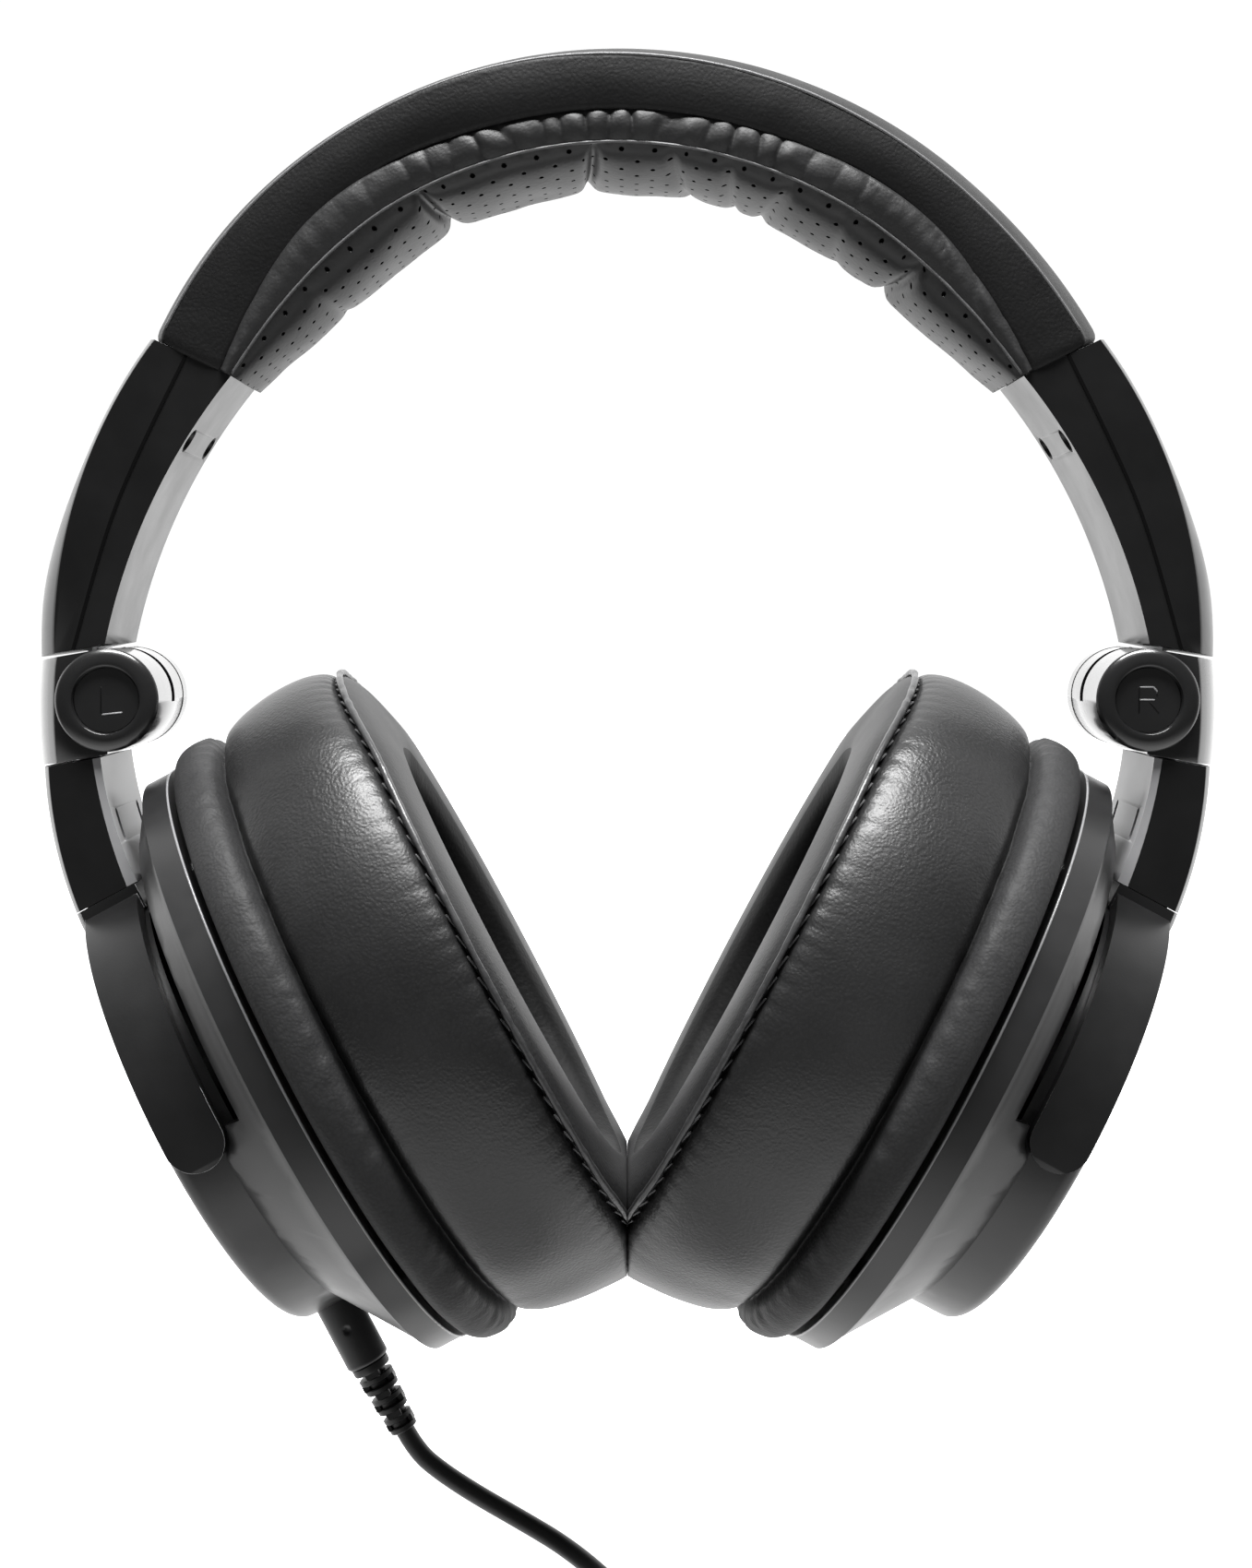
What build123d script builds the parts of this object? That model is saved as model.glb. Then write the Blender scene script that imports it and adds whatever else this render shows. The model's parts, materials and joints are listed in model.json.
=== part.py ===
from build123d import *
import math
import os

# Closed-back over-ear headphones in millimetres, +Z up, X across the head and -Y the front.
# The origin is the middle of the headband cushion's underside, where a head or a hook carries them.
# The left half (x < 0) is modelled, and its pieces are mirrored in the plane x = 0.

# headband
BAND_WIDTH = 34.0           # front to back at the middle
BAND_END_WIDTH = 27.0       # front to back at the pad's ends
PAD_CENTRE_Z = -60.4        # centre of the crowned outer arc
PAD_CROWN_R = 82.5
PAD_EDGE_R = 78.3
PAD_INNER_Z = -56.9         # centre of the arc between the upper pad and the cushion
PAD_INNER_R = 65.2
PAD_END_ANGLE = 64.6        # from the vertical
PAD_END_Z = -57.9           # where the planes of its two ends meet
CUSHION_FLANK = (36.0, -13.4)   # where the cushion's arc ends and its straight flank begins
CUSHION_END = (54.6, -28.6)
CUSHION_END_TOP = (57.9, -26.3)
SPRING_CENTRE_Z = -60.5
SPRING_R = 73.1
SPRING_THICK = 1.0
SPRING_WIDTH = 14.0
SPRING_HALF_ANGLE = 72.0

# upper arms: two shells that meet on a seam
ARM_WIDTH = 25.6
ARM_CENTRE = (-10.5, -69.6)
ARM_OUTER_R = 75.5
ARM_CROWN = 4.0
ARM_INNER_CENTRE = (8.8, -87.1)
ARM_INNER_R = 88.8
SEAM = ((-66.2, -26.65), (-76.6, -49.0), (-83.2, -71.0))
ARM_INNER_EDGE = ((-59.5, -29.84), (-72.1, -50.4), (-78.4, -70.1))
ARM_TOP_DIR = (-0.903, 0.429)
ARM_WALL = 2.2
CAVITY_WIDTH = 20.8
ARM_SCREW = (-66.6, -39.2)
ARM_SCREW_Y = 9.5

# slider, a flat band that runs in the arm
SLIDE_TILT = 10.0
SLIDER_FOOT = (-82.2, -70.5)
SLIDER_LENGTH = 27.5
SLIDER_THICK = 2.0
SLIDER_WIDTH = 16.0
TONGUE_THICK = 2.4
RUN_GAP = 0.15

# fold hinge, with its axis along Y
PARTING_TILT = 10.0
HINGE = (-78.0, -78.5)
BARREL_R = 7.7
BARREL_LENGTH = 27.6
BLOCK_TOP = (-86.0, -72.1)
BLOCK_FOOT = (-82.9, -87.5)
BLOCK_CENTRE = (-16.0, -79.5)
BLOCK_R = 70.0
BLOCK_CROWN = 4.5
HINGE_PIN_R = 2.0
HINGE_GAP = 0.05
CAP_R = 4.7
CAP_DEPTH = 2.0

# stem and yoke
PARTING_GAP = 0.3
STEM_CENTRE = (-21.2, -85.8)
STEM_R = 65.7
STEM_CROWN = 2.6
STEM_OUTER = ((-86.9, -88.2), (-85.6, -99.0), (-82.2, -110.3))
STEM_INNER = ((-79.1, -87.1), (-77.3, -96.0), (-73.4, -106.0))
STEM_PLATE = 1.2
STEM_FOOT_U = 36.3          # the crease where the stem meets the yoke, in the cup's frame
SWIVEL_R = 2.5
SWIVEL_UP = 4.2
SWIVEL_DOWN = 12.0
YOKE_INNER_R = 34.7
YOKE_OUTER_R = 37.0
YOKE_HALF_WIDTH = 4.4
SHOULDER_FRONT_W = 3.0
TILT_W = -1.8               # the tilt axis, which runs front to back, in the cup's frame
RECESS_FRONT_W = 5.9
PIVOT_R = 2.0

# ear cup, in a frame whose axis points at the ear
CUP_TILT = 28.0
PIVOT = (-59.6, 0.0, -139.4)
OVAL = 0.885                # front to back against up and down
BARREL_SHELL_R = 34.0
BARREL_DROP_R = 35.3        # the barrel is a little longer below the tilt axis
SHELL_BACK_W = -7.3
PLATE_R = 26.0
FLANGE_RU = 48.7
FLANGE_BACK_W = 9.8
FLANGE_FRONT_W = 14.2
SHELL_WALL = 2.2
PAD_BACK_W = 15.2
EAR_HOLE = (31.0, 22.0)
BAFFLE_W = 10.6
BAFFLE_THICK = 3.0
DRIVER_R = 20.0
JACK_W = -2.4
SOCKET_R = 2.6

# detachable cable
CORD_R = 1.5
PLUG_R = 3.4
PLUG_PIN_R = 1.75
PLUG_TIP_U = -46.2
RELIEF_TIP_U = -58.0
FLOOR_Z = -220.5
COIL_CENTRE = (-11.5, -42.0)
COIL_MID_R = 18.0
COIL_BUNDLE = 9.6           # three turns side by side and three high

CUP = Plane(
    origin=PIVOT,
    x_dir=(-math.sin(math.radians(CUP_TILT)), 0, math.cos(math.radians(CUP_TILT))),
    z_dir=(math.cos(math.radians(CUP_TILT)), 0, math.sin(math.radians(CUP_TILT))),
)


def tilt_plane(side=1):
    """A plane through the tilt axis, square to it, facing the front (1) or the back (-1)."""
    origin = CUP.from_local_coords(Vector(0, 0, TILT_W))
    return Plane(origin=origin, x_dir=CUP.x_dir, z_dir=(0, -side, 0))


def parting_plane(height=0.0):
    """A plane square to the swivel's axis, at a height above the parting under the hinge block."""
    angle = math.radians(PARTING_TILT)
    across = Vector(math.cos(angle), 0, math.sin(angle))
    up = Vector(-math.sin(angle), 0, math.cos(angle))
    foot = Vector(BLOCK_FOOT[0], 0, BLOCK_FOOT[1])
    return Plane(origin=foot + up * height, x_dir=across, z_dir=up)


def crowned_ring(centre, edge_r, crown, inner_r, width):
    """A ring about an axis along Y, whose outer face is higher in the middle than at its edges."""
    section = Plane(origin=(centre[0], 0, centre[1]), x_dir=(-1, 0, 0), z_dir=(0, 0, 1))
    half = width / 2
    with BuildPart(mode=Mode.PRIVATE) as ring:
        with BuildSketch(section):
            with BuildLine():
                Line((inner_r, -half), (edge_r, -half))
                ThreePointArc((edge_r, -half), (edge_r + crown, 0), (edge_r, half))
                Line((edge_r, half), (inner_r, half))
                Line((inner_r, half), (inner_r, -half))
            make_face()
        revolve(axis=Axis((centre[0], 0, centre[1]), (0, 1, 0)), revolution_arc=360)
    return ring.part


def slab(points, width):
    """A polygon in the XZ plane, extruded to a width centred on y = 0."""
    with BuildPart(mode=Mode.PRIVATE) as body:
        with BuildSketch(Plane.XZ):
            with BuildLine():
                Polyline(*points, close=True)
            make_face()
        extrude(amount=width / 2, both=True)
    return body.part


def save(piece, name):
    """Label a finished piece and write it."""
    piece.part.label = name
    export_step(piece.part, f"parts/{name}.step")


def save_pair(piece, name):
    """Write a left piece and its mirror image."""
    save(piece, name + "_l")
    with BuildPart() as right:
        mirror(piece.part, about=Plane.YZ)
    save(right, name + "_r")


# ---- headband ----------------------------------------------------------------------


def spring_arc(thick, width, half_angle):
    """The curved flat spring, as a ring cut to its two ends."""
    start = 90 - half_angle
    with BuildPart(mode=Mode.PRIVATE) as arc:
        with BuildSketch(Plane.XZ.offset(width / 2)):
            with BuildLine():
                outer = CenterArc((0, SPRING_CENTRE_Z), SPRING_R + thick / 2, start, 2 * half_angle)
                inner = CenterArc((0, SPRING_CENTRE_Z), SPRING_R - thick / 2, start, 2 * half_angle)
                Line(outer @ 0, inner @ 0)
                Line(outer @ 1, inner @ 1)
            make_face()
        extrude(amount=-width)
    return arc.part


def make_headband_spring():
    with BuildPart() as headband_spring:
        add(spring_arc(SPRING_THICK, SPRING_WIDTH, SPRING_HALF_ANGLE))
    save(headband_spring, "headband_spring")


def band_outline():
    """The headband's outline from above, narrower at its ends, extruded through its height."""
    half, end, reach = BAND_WIDTH / 2, BAND_END_WIDTH / 2, 75
    with BuildPart(mode=Mode.PRIVATE) as outline:
        with BuildSketch(Plane.XY.offset(-60)):
            with BuildLine():
                ThreePointArc((-reach, end), (0, half), (reach, end))
                Line((reach, end), (reach, -end))
                ThreePointArc((reach, -end), (0, -half), (-reach, -end))
                Line((-reach, -end), (-reach, end))
            make_face()
        extrude(amount=90)
    return outline.part


def make_headband_cover():
    """The leather-covered upper pad, crowned on top and open for the spring."""
    angle = math.radians(PAD_END_ANGLE)
    reach = 120
    side, up = reach * math.sin(angle), reach * math.cos(angle)
    wedge = slab([(0, PAD_END_Z), (-side, PAD_END_Z + up), (0, 90), (side, PAD_END_Z + up)], 60)
    with BuildPart() as headband_cover:
        add(crowned_ring((0, PAD_CENTRE_Z), PAD_EDGE_R, PAD_CROWN_R - PAD_EDGE_R, 50, BAND_WIDTH))
        add(wedge, mode=Mode.INTERSECT)
        add(band_outline(), mode=Mode.INTERSECT)
        with BuildSketch(Plane.XZ):
            with Locations((0, PAD_INNER_Z)):
                Circle(PAD_INNER_R)
        extrude(amount=BAND_WIDTH, both=True, mode=Mode.SUBTRACT)
        add(spring_arc(SPRING_THICK + 0.1, SPRING_WIDTH + 0.2, 80), mode=Mode.SUBTRACT)
    save(headband_cover, "headband_cover")


def make_headband_cushion():
    """The crescent of padding under the band, whose underside rests on the head."""
    x, z = CUSHION_END
    flank_x, flank_z = CUSHION_FLANK
    top_x, top_z = CUSHION_END_TOP
    top = 0.05
    with BuildPart() as headband_cushion:
        with BuildSketch(Plane.XZ):
            with BuildLine():
                Line((-x, z), (-flank_x, flank_z))
                ThreePointArc((-flank_x, flank_z), (0, 0), (flank_x, flank_z))
                Line((flank_x, flank_z), (x, z))
                Line((x, z), (top_x, top_z))
                ThreePointArc((top_x, top_z), (0, PAD_INNER_Z + PAD_INNER_R - top), (-top_x, top_z))
                Line((-top_x, top_z), (-x, z))
            make_face()
        extrude(amount=BAND_WIDTH / 2 - 1, both=True)
        add(band_outline(), mode=Mode.INTERSECT)
        with BuildSketch(Plane.XZ):
            with Locations((0, PAD_INNER_Z)):
                Circle(PAD_INNER_R - top)
        extrude(amount=BAND_WIDTH, both=True, mode=Mode.INTERSECT)
    save(headband_cushion, "headband_cushion")


# ---- upper arms and sliders ----------------------------------------------------------


def slide_plane(along=0.0, across=0.0):
    """A plane square to the slide, along from the slider's foot and across towards the head."""
    angle = math.radians(SLIDE_TILT)
    up = (math.sin(angle), math.cos(angle))
    x = SLIDER_FOOT[0] + along * up[0] + across * up[1]
    z = SLIDER_FOOT[1] + along * up[1] - across * up[0]
    return Plane(origin=(x, 0, z), x_dir=(up[1], 0, -up[0]), z_dir=(up[0], 0, up[1]))


def slider_way():
    """The slot that the slider's band runs in."""
    with BuildPart(mode=Mode.PRIVATE) as way:
        with BuildSketch(slide_plane(-6)):
            Rectangle(SLIDER_THICK + 2 * RUN_GAP, SLIDER_WIDTH + 2 * RUN_GAP)
        extrude(amount=SLIDER_LENGTH + 7)
    return way.part


def arm_cavity():
    """The hollow inside both shells, closed at the top where the spring is clamped."""
    with BuildPart(mode=Mode.PRIVATE) as cavity:
        with BuildSketch(Plane.XZ):
            with Locations(ARM_CENTRE):
                Circle(ARM_OUTER_R - ARM_WALL)
            with Locations(ARM_INNER_CENTRE):
                Circle(ARM_INNER_R + ARM_WALL, mode=Mode.SUBTRACT)
        extrude(amount=CAVITY_WIDTH / 2, both=True)
        ends = slab([(-100, -28.5), (-60, -44.0), (-60, -64.3), (-100, -71.7)], 40)
        add(ends, mode=Mode.INTERSECT)
    return cavity.part


def screw_plane():
    """The plane of an arm screw's head, sunk in the inner face and facing the head."""
    return Plane(origin=(ARM_SCREW[0], 0, ARM_SCREW[1]), x_dir=(0, 1, 0), z_dir=(0.86, 0, -0.51))


def screw_holes(head_r, thread_r):
    """The sunk holes for the two arm screws."""
    with BuildPart(mode=Mode.PRIVATE) as holes:
        with BuildSketch(screw_plane().offset(-3)):
            with Locations((-ARM_SCREW_Y, 0), (ARM_SCREW_Y, 0)):
                Circle(head_r)
        extrude(amount=8)
        with BuildSketch(screw_plane().offset(-3)):
            with Locations((-ARM_SCREW_Y, 0), (ARM_SCREW_Y, 0)):
                Circle(thread_r)
        extrude(amount=-6)
    return holes.part


def detent_leaf():
    """A thin leaf beside the band, whose nose falls into the band's row of dimples."""
    with BuildPart(mode=Mode.PRIVATE) as leaf:
        with BuildSketch(slide_plane(14, -SLIDER_THICK / 2 - RUN_GAP - 0.35)):
            Rectangle(0.5, 5)
        extrude(amount=19)
    return leaf.part


def make_arm_outer_shell():
    top, middle, foot = SEAM
    lift = 14
    far_top = (top[0] + lift * ARM_TOP_DIR[0], top[1] + lift * ARM_TOP_DIR[1])
    with BuildPart() as arm_outer_shell:
        with BuildSketch(Plane.XZ):
            with BuildLine():
                Line(top, far_top)
                ThreePointArc(far_top, (-96, -48), (-93.0, -72.7))
                Line((-93.0, -72.7), foot)
                ThreePointArc(foot, middle, top)
            make_face()
        extrude(amount=ARM_WIDTH / 2, both=True)
        add(crowned_ring(ARM_CENTRE, ARM_OUTER_R, ARM_CROWN, 50, ARM_WIDTH), mode=Mode.INTERSECT)
        add(arm_cavity(), mode=Mode.SUBTRACT)
        add(slider_way(), mode=Mode.SUBTRACT)
        add(spring_arc(SPRING_THICK + 0.1, SPRING_WIDTH + 0.2, SPRING_HALF_ANGLE + 0.2), mode=Mode.SUBTRACT)
        add(screw_holes(2.0, 1.0), mode=Mode.SUBTRACT)
        add(detent_leaf(), mode=Mode.SUBTRACT)
    save_pair(arm_outer_shell, "arm_outer_shell")


def make_arm_inner_shell():
    top, middle, foot = SEAM
    inner_top, inner_middle, inner_foot = ARM_INNER_EDGE
    with BuildPart() as arm_inner_shell:
        with BuildSketch(Plane.XZ):
            with BuildLine():
                Line(top, inner_top)
                ThreePointArc(inner_top, inner_middle, inner_foot)
                Line(inner_foot, foot)
                ThreePointArc(foot, middle, top)
            make_face()
        extrude(amount=ARM_WIDTH / 2, both=True)
        add(arm_cavity(), mode=Mode.SUBTRACT)
        add(slider_way(), mode=Mode.SUBTRACT)
        add(spring_arc(SPRING_THICK + 0.1, SPRING_WIDTH + 0.2, SPRING_HALF_ANGLE + 0.2), mode=Mode.SUBTRACT)
        add(screw_holes(2.0, 1.0), mode=Mode.SUBTRACT)
        add(detent_leaf(), mode=Mode.SUBTRACT)
    save_pair(arm_inner_shell, "arm_inner_shell")


def make_arm_screws():
    """Two small screws with recessed cross heads, side by side."""
    with BuildPart() as arm_screws:
        with BuildSketch(screw_plane().offset(-3)):
            with Locations((-ARM_SCREW_Y, 0), (ARM_SCREW_Y, 0)):
                Circle(1.9)
        extrude(amount=1.4)
        with BuildSketch(screw_plane().offset(-3)):
            with Locations((-ARM_SCREW_Y, 0), (ARM_SCREW_Y, 0)):
                Circle(1.0)
        extrude(amount=-5.5)
        with BuildSketch(screw_plane().offset(-2.2)):
            with Locations((-ARM_SCREW_Y, 0), (ARM_SCREW_Y, 0)):
                Rectangle(2.2, 0.5)
                Rectangle(0.5, 2.2)
        extrude(amount=2, mode=Mode.SUBTRACT)
    save_pair(arm_screws, "arm_screws")


def make_detent_spring():
    with BuildPart() as detent_spring:
        add(detent_leaf())
    save_pair(detent_spring, "detent_spring")


def make_slider_band():
    """The steel band with its row of dimples, and the tongue and eye of the fold hinge."""
    foot_x, foot_z = SLIDER_FOOT
    with BuildPart() as slider_band:
        with BuildSketch(slide_plane(-0.6)):
            Rectangle(SLIDER_THICK, SLIDER_WIDTH)
        extrude(amount=SLIDER_LENGTH + 0.6)
        with BuildSketch(Plane.XZ):
            with Locations(HINGE):
                Circle(4.4)
            with BuildLine():
                Polyline(
                    (foot_x - 1.1, foot_z - 0.5),
                    (foot_x + 0.9, foot_z - 0.5),
                    (HINGE[0] + 3.4, HINGE[1] + 2.6),
                    (HINGE[0] - 4.2, HINGE[1] - 0.8),
                    close=True,
                )
            make_face()
            with Locations(HINGE):
                Circle(HINGE_PIN_R + HINGE_GAP, mode=Mode.SUBTRACT)
        extrude(amount=TONGUE_THICK / 2, both=True)
        for step in range(5):
            with BuildSketch(slide_plane(6 + 4 * step).rotated((0, 90, 0))):
                Circle(0.8)
            extrude(amount=SLIDER_THICK, both=True, mode=Mode.SUBTRACT)
    save_pair(slider_band, "slider_band")


# ---- fold hinge ------------------------------------------------------------------------


def make_hinge_block():
    """A block flush with the arm, with the barrel of the hinge and a slot for the tongue."""
    slope = math.tan(math.radians(PARTING_TILT))
    top_z = BLOCK_TOP[1]
    foot_z = BLOCK_FOOT[1] + (BLOCK_TOP[0] - BLOCK_FOOT[0]) * slope
    left, right = -92.0, HINGE[0]
    corners = [
        (left, top_z + (left - BLOCK_TOP[0]) * slope),
        (right, top_z + (right - BLOCK_TOP[0]) * slope),
        (right, foot_z + (right - BLOCK_TOP[0]) * slope),
        (left, foot_z + (left - BLOCK_TOP[0]) * slope),
    ]
    with BuildPart() as hinge_block:
        add(slab(corners, ARM_WIDTH))
        add(crowned_ring(BLOCK_CENTRE, BLOCK_R, BLOCK_CROWN, 50, ARM_WIDTH), mode=Mode.INTERSECT)
        with BuildSketch(Plane.XZ):
            with Locations(HINGE):
                Circle(BARREL_R)
        extrude(amount=BARREL_LENGTH / 2, both=True)
        with BuildSketch(Plane.XZ):
            with Locations(HINGE):
                Circle(4.9)
            with BuildLine():
                Polyline(
                    (HINGE[0] - 4.9, HINGE[1] - 0.6),
                    (HINGE[0] - 9.2, HINGE[1] + 12),
                    (HINGE[0] + 12, HINGE[1] + 12),
                    (HINGE[0] + 12, HINGE[1] - 0.6),
                    close=True,
                )
            make_face()
        extrude(amount=TONGUE_THICK / 2 + RUN_GAP, both=True, mode=Mode.SUBTRACT)
        with BuildSketch(Plane.XZ):
            with Locations(HINGE):
                Circle(HINGE_PIN_R)
        extrude(amount=BARREL_LENGTH, both=True, mode=Mode.SUBTRACT)
        for face_y in (BARREL_LENGTH / 2, -BARREL_LENGTH / 2 + CAP_DEPTH):
            with BuildSketch(Plane.XZ.offset(face_y)):
                with Locations(HINGE):
                    Circle(CAP_R + 0.1)
            extrude(amount=-CAP_DEPTH, mode=Mode.SUBTRACT)
        with BuildSketch(parting_plane(-2)):
            Circle(SWIVEL_R + HINGE_GAP)
        extrude(amount=SWIVEL_UP + 2.3, mode=Mode.SUBTRACT)
        rims = hinge_block.faces().filter_by(Axis.Y).group_by(Axis.Y)
        outer = [rims[0][0], rims[-1][0]]
        edges = [e for face in outer for e in face.outer_wire().edges()]
        chamfer(edges, length=0.8)
    save_pair(hinge_block, "hinge_block")


def make_hinge_pin():
    length = BARREL_LENGTH - 2 * CAP_DEPTH
    with BuildPart() as hinge_pin:
        with BuildSketch(Plane.XZ):
            with Locations(HINGE):
                Circle(HINGE_PIN_R)
        extrude(amount=length / 2, both=True)
    save_pair(hinge_pin, "hinge_pin")


def make_hinge_caps():
    """The round caps that close the barrel at its two ends."""
    for name, side in (("hinge_cap_front", 1), ("hinge_cap_back", -1)):
        with BuildPart() as hinge_cap:
            with BuildSketch(Plane.XZ.offset(side * (BARREL_LENGTH / 2 - CAP_DEPTH))):
                with Locations(HINGE):
                    Circle(CAP_R)
            extrude(amount=side * (CAP_DEPTH - 0.3))
            chamfer(hinge_cap.edges().group_by(Axis.Y)[0 if side > 0 else -1], length=0.4)
        save_pair(hinge_cap, name)


# ---- stem and yoke -----------------------------------------------------------------------


def make_stem_cover():
    """The stem's outer shell, crowned like the arm, hollow for the yoke's neck."""
    top, middle, foot = STEM_OUTER
    in_top, in_middle, in_foot = STEM_INNER
    with BuildPart() as stem_cover:
        with BuildSketch(Plane.XZ):
            with BuildLine():
                Line((-94.0, -86.0), (in_top[0] - STEM_PLATE, -86.0))
                Line((in_top[0] - STEM_PLATE, -86.0), (in_top[0] - STEM_PLATE, in_top[1] - 0.2))
                ThreePointArc(
                    (in_top[0] - STEM_PLATE, in_top[1] - 0.2),
                    (in_middle[0] - STEM_PLATE, in_middle[1] - 0.2),
                    (in_foot[0] - STEM_PLATE, in_foot[1] - 1.7),
                )
                Line((in_foot[0] - STEM_PLATE, in_foot[1] - 1.7), (-88.0, -115.5))
                ThreePointArc((-88.0, -115.5), (-93.5, -101.0), (-94.0, -86.0))
            make_face()
        extrude(amount=ARM_WIDTH / 2, both=True)
        add(crowned_ring(STEM_CENTRE, STEM_R, STEM_CROWN, 40, ARM_WIDTH), mode=Mode.INTERSECT)
        add(yoke_neck(), mode=Mode.SUBTRACT)
        add(swivel_post(), mode=Mode.SUBTRACT)
        add(beyond_stem(), mode=Mode.SUBTRACT)
    save_pair(stem_cover, "stem_cover")


def beyond_stem():
    """The space over the parting, and that of the yoke's shoulder and bow under the stem's foot."""
    with BuildPart(mode=Mode.PRIVATE) as space:
        with BuildSketch(parting_plane(-PARTING_GAP)):
            Rectangle(40, 40)
        extrude(amount=10)
        with BuildSketch(CUP):
            Circle(YOKE_OUTER_R)
            with Locations((STEM_FOOT_U - 10, 0)):
                Rectangle(20, ARM_WIDTH + 4)
        extrude(amount=20, both=True)
    return space.part


def make_stem_plate():
    """The thin plate on the stem's inner face, with two oval slots."""
    top, middle, foot = STEM_INNER
    with BuildPart() as stem_plate:
        with BuildSketch(Plane.XZ):
            with BuildLine():
                Line((top[0] - STEM_PLATE, top[1] - 0.2), (top[0] - STEM_PLATE, -86.0))
                Line((top[0] - STEM_PLATE, -86.0), (top[0], -86.0))
                Line((top[0], -86.0), top)
                ThreePointArc(top, middle, foot)
                Line(foot, (foot[0] - STEM_PLATE, foot[1] - 1.7))
                ThreePointArc(
                    (foot[0] - STEM_PLATE, foot[1] - 1.7),
                    (middle[0] - STEM_PLATE, middle[1] - 0.2),
                    (top[0] - STEM_PLATE, top[1] - 0.2),
                )
            make_face()
        extrude(amount=ARM_WIDTH / 2, both=True)
        with BuildSketch(Plane(origin=(-76.9, 0, -97.5), x_dir=(0, 1, 0), z_dir=(0.97, 0, 0.24))):
            with Locations((-8.6, 0), (8.6, 0)):
                SlotOverall(5.2, 1.5, rotation=90)
        extrude(amount=3, both=True, mode=Mode.SUBTRACT)
        add(beyond_stem(), mode=Mode.SUBTRACT)
    save_pair(stem_plate, "stem_plate")


def yoke_neck():
    """The yoke's neck, which runs up inside the stem."""
    corners = [
        (-83.6, -92.5),
        (-81.2, -92.5),
        (-79.0, -100.0),
        (-76.0, -106.5),
        (-80.2, -109.1),
        (-82.3, -103.5),
    ]
    return slab(corners, 12)


def swivel_post():
    """The post of the swivel, square to the parting between the block and the stem."""
    with BuildPart(mode=Mode.PRIVATE) as post:
        with BuildSketch(parting_plane(-SWIVEL_DOWN)):
            Circle(SWIVEL_R)
        extrude(amount=SWIVEL_DOWN + SWIVEL_UP)
    return post.part


def yoke_shoulder():
    """The bow's thickened top, whose outer face runs on from the stem's."""
    with BuildPart(mode=Mode.PRIVATE) as shoulder:
        with BuildSketch(CUP.offset(SHOULDER_FRONT_W)):
            with Locations((STEM_FOOT_U - 2.1, 0)):
                Rectangle(4.0, ARM_WIDTH)
            Circle(YOKE_INNER_R, mode=Mode.SUBTRACT)
        extrude(amount=-14)
        add(crowned_ring(STEM_CENTRE, STEM_R, STEM_CROWN, 40, ARM_WIDTH), mode=Mode.INTERSECT)
    return shoulder.part


def make_yoke():
    """The C-shaped bow round the cup, with rounded tips on the tilt axis, its shoulder and neck."""
    with BuildPart(mode=Mode.PRIVATE) as reach:
        with BuildSketch(tilt_plane()):
            Circle(YOKE_HALF_WIDTH)
            with Locations((25, 0)):
                Rectangle(50, 2 * YOKE_HALF_WIDTH)
        extrude(amount=50, both=True)
    with BuildPart() as yoke:
        with BuildSketch(CUP.offset(TILT_W)):
            Circle(YOKE_OUTER_R)
            Circle(YOKE_INNER_R, mode=Mode.SUBTRACT)
        extrude(amount=YOKE_HALF_WIDTH, both=True)
        add(reach.part, mode=Mode.INTERSECT)
        add(yoke_shoulder())
        add(yoke_neck())
        add(swivel_post(), mode=Mode.SUBTRACT)
        with BuildSketch(tilt_plane()):
            Circle(PIVOT_R)
        extrude(amount=YOKE_OUTER_R - 1.0, both=True, mode=Mode.SUBTRACT)
    save_pair(yoke, "yoke")


def make_swivel_pin():
    with BuildPart() as swivel_pin:
        add(swivel_post())
    save_pair(swivel_pin, "swivel_pin")


def make_pivot_pins():
    """The two pins of the tilt axis, pressed in the yoke's tips and turning in the cup."""
    with BuildPart() as pivot_pins:
        for side in (1, -1):
            with BuildSketch(tilt_plane(side).offset(29.5)):
                Circle(PIVOT_R)
            extrude(amount=YOKE_OUTER_R - 1.0 - 29.5)
    save_pair(pivot_pins, "pivot_pins")


# ---- ear cup -------------------------------------------------------------------------------


def ovals(sections):
    """Loft straight between ovals square to the cup's axis, each (w, radius up and down, its ratio)."""
    with BuildPart(mode=Mode.PRIVATE) as body:
        for w, radius, ratio in sections:
            with BuildSketch(CUP.offset(w)):
                Ellipse(radius, radius * ratio)
        loft(ruled=True)
    return body.part


def barrel_sketch(inset=0.0):
    """The barrel's section: round above the tilt axis and a little longer below it."""
    with BuildSketch(mode=Mode.PRIVATE) as outline:
        Ellipse(BARREL_DROP_R - inset, BARREL_SHELL_R - inset)
        with Locations((BARREL_DROP_R, 0)):
            Rectangle(2 * BARREL_DROP_R, 2 * BARREL_DROP_R, mode=Mode.SUBTRACT)
        Circle(BARREL_SHELL_R - inset)
    return outline.sketch


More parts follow.
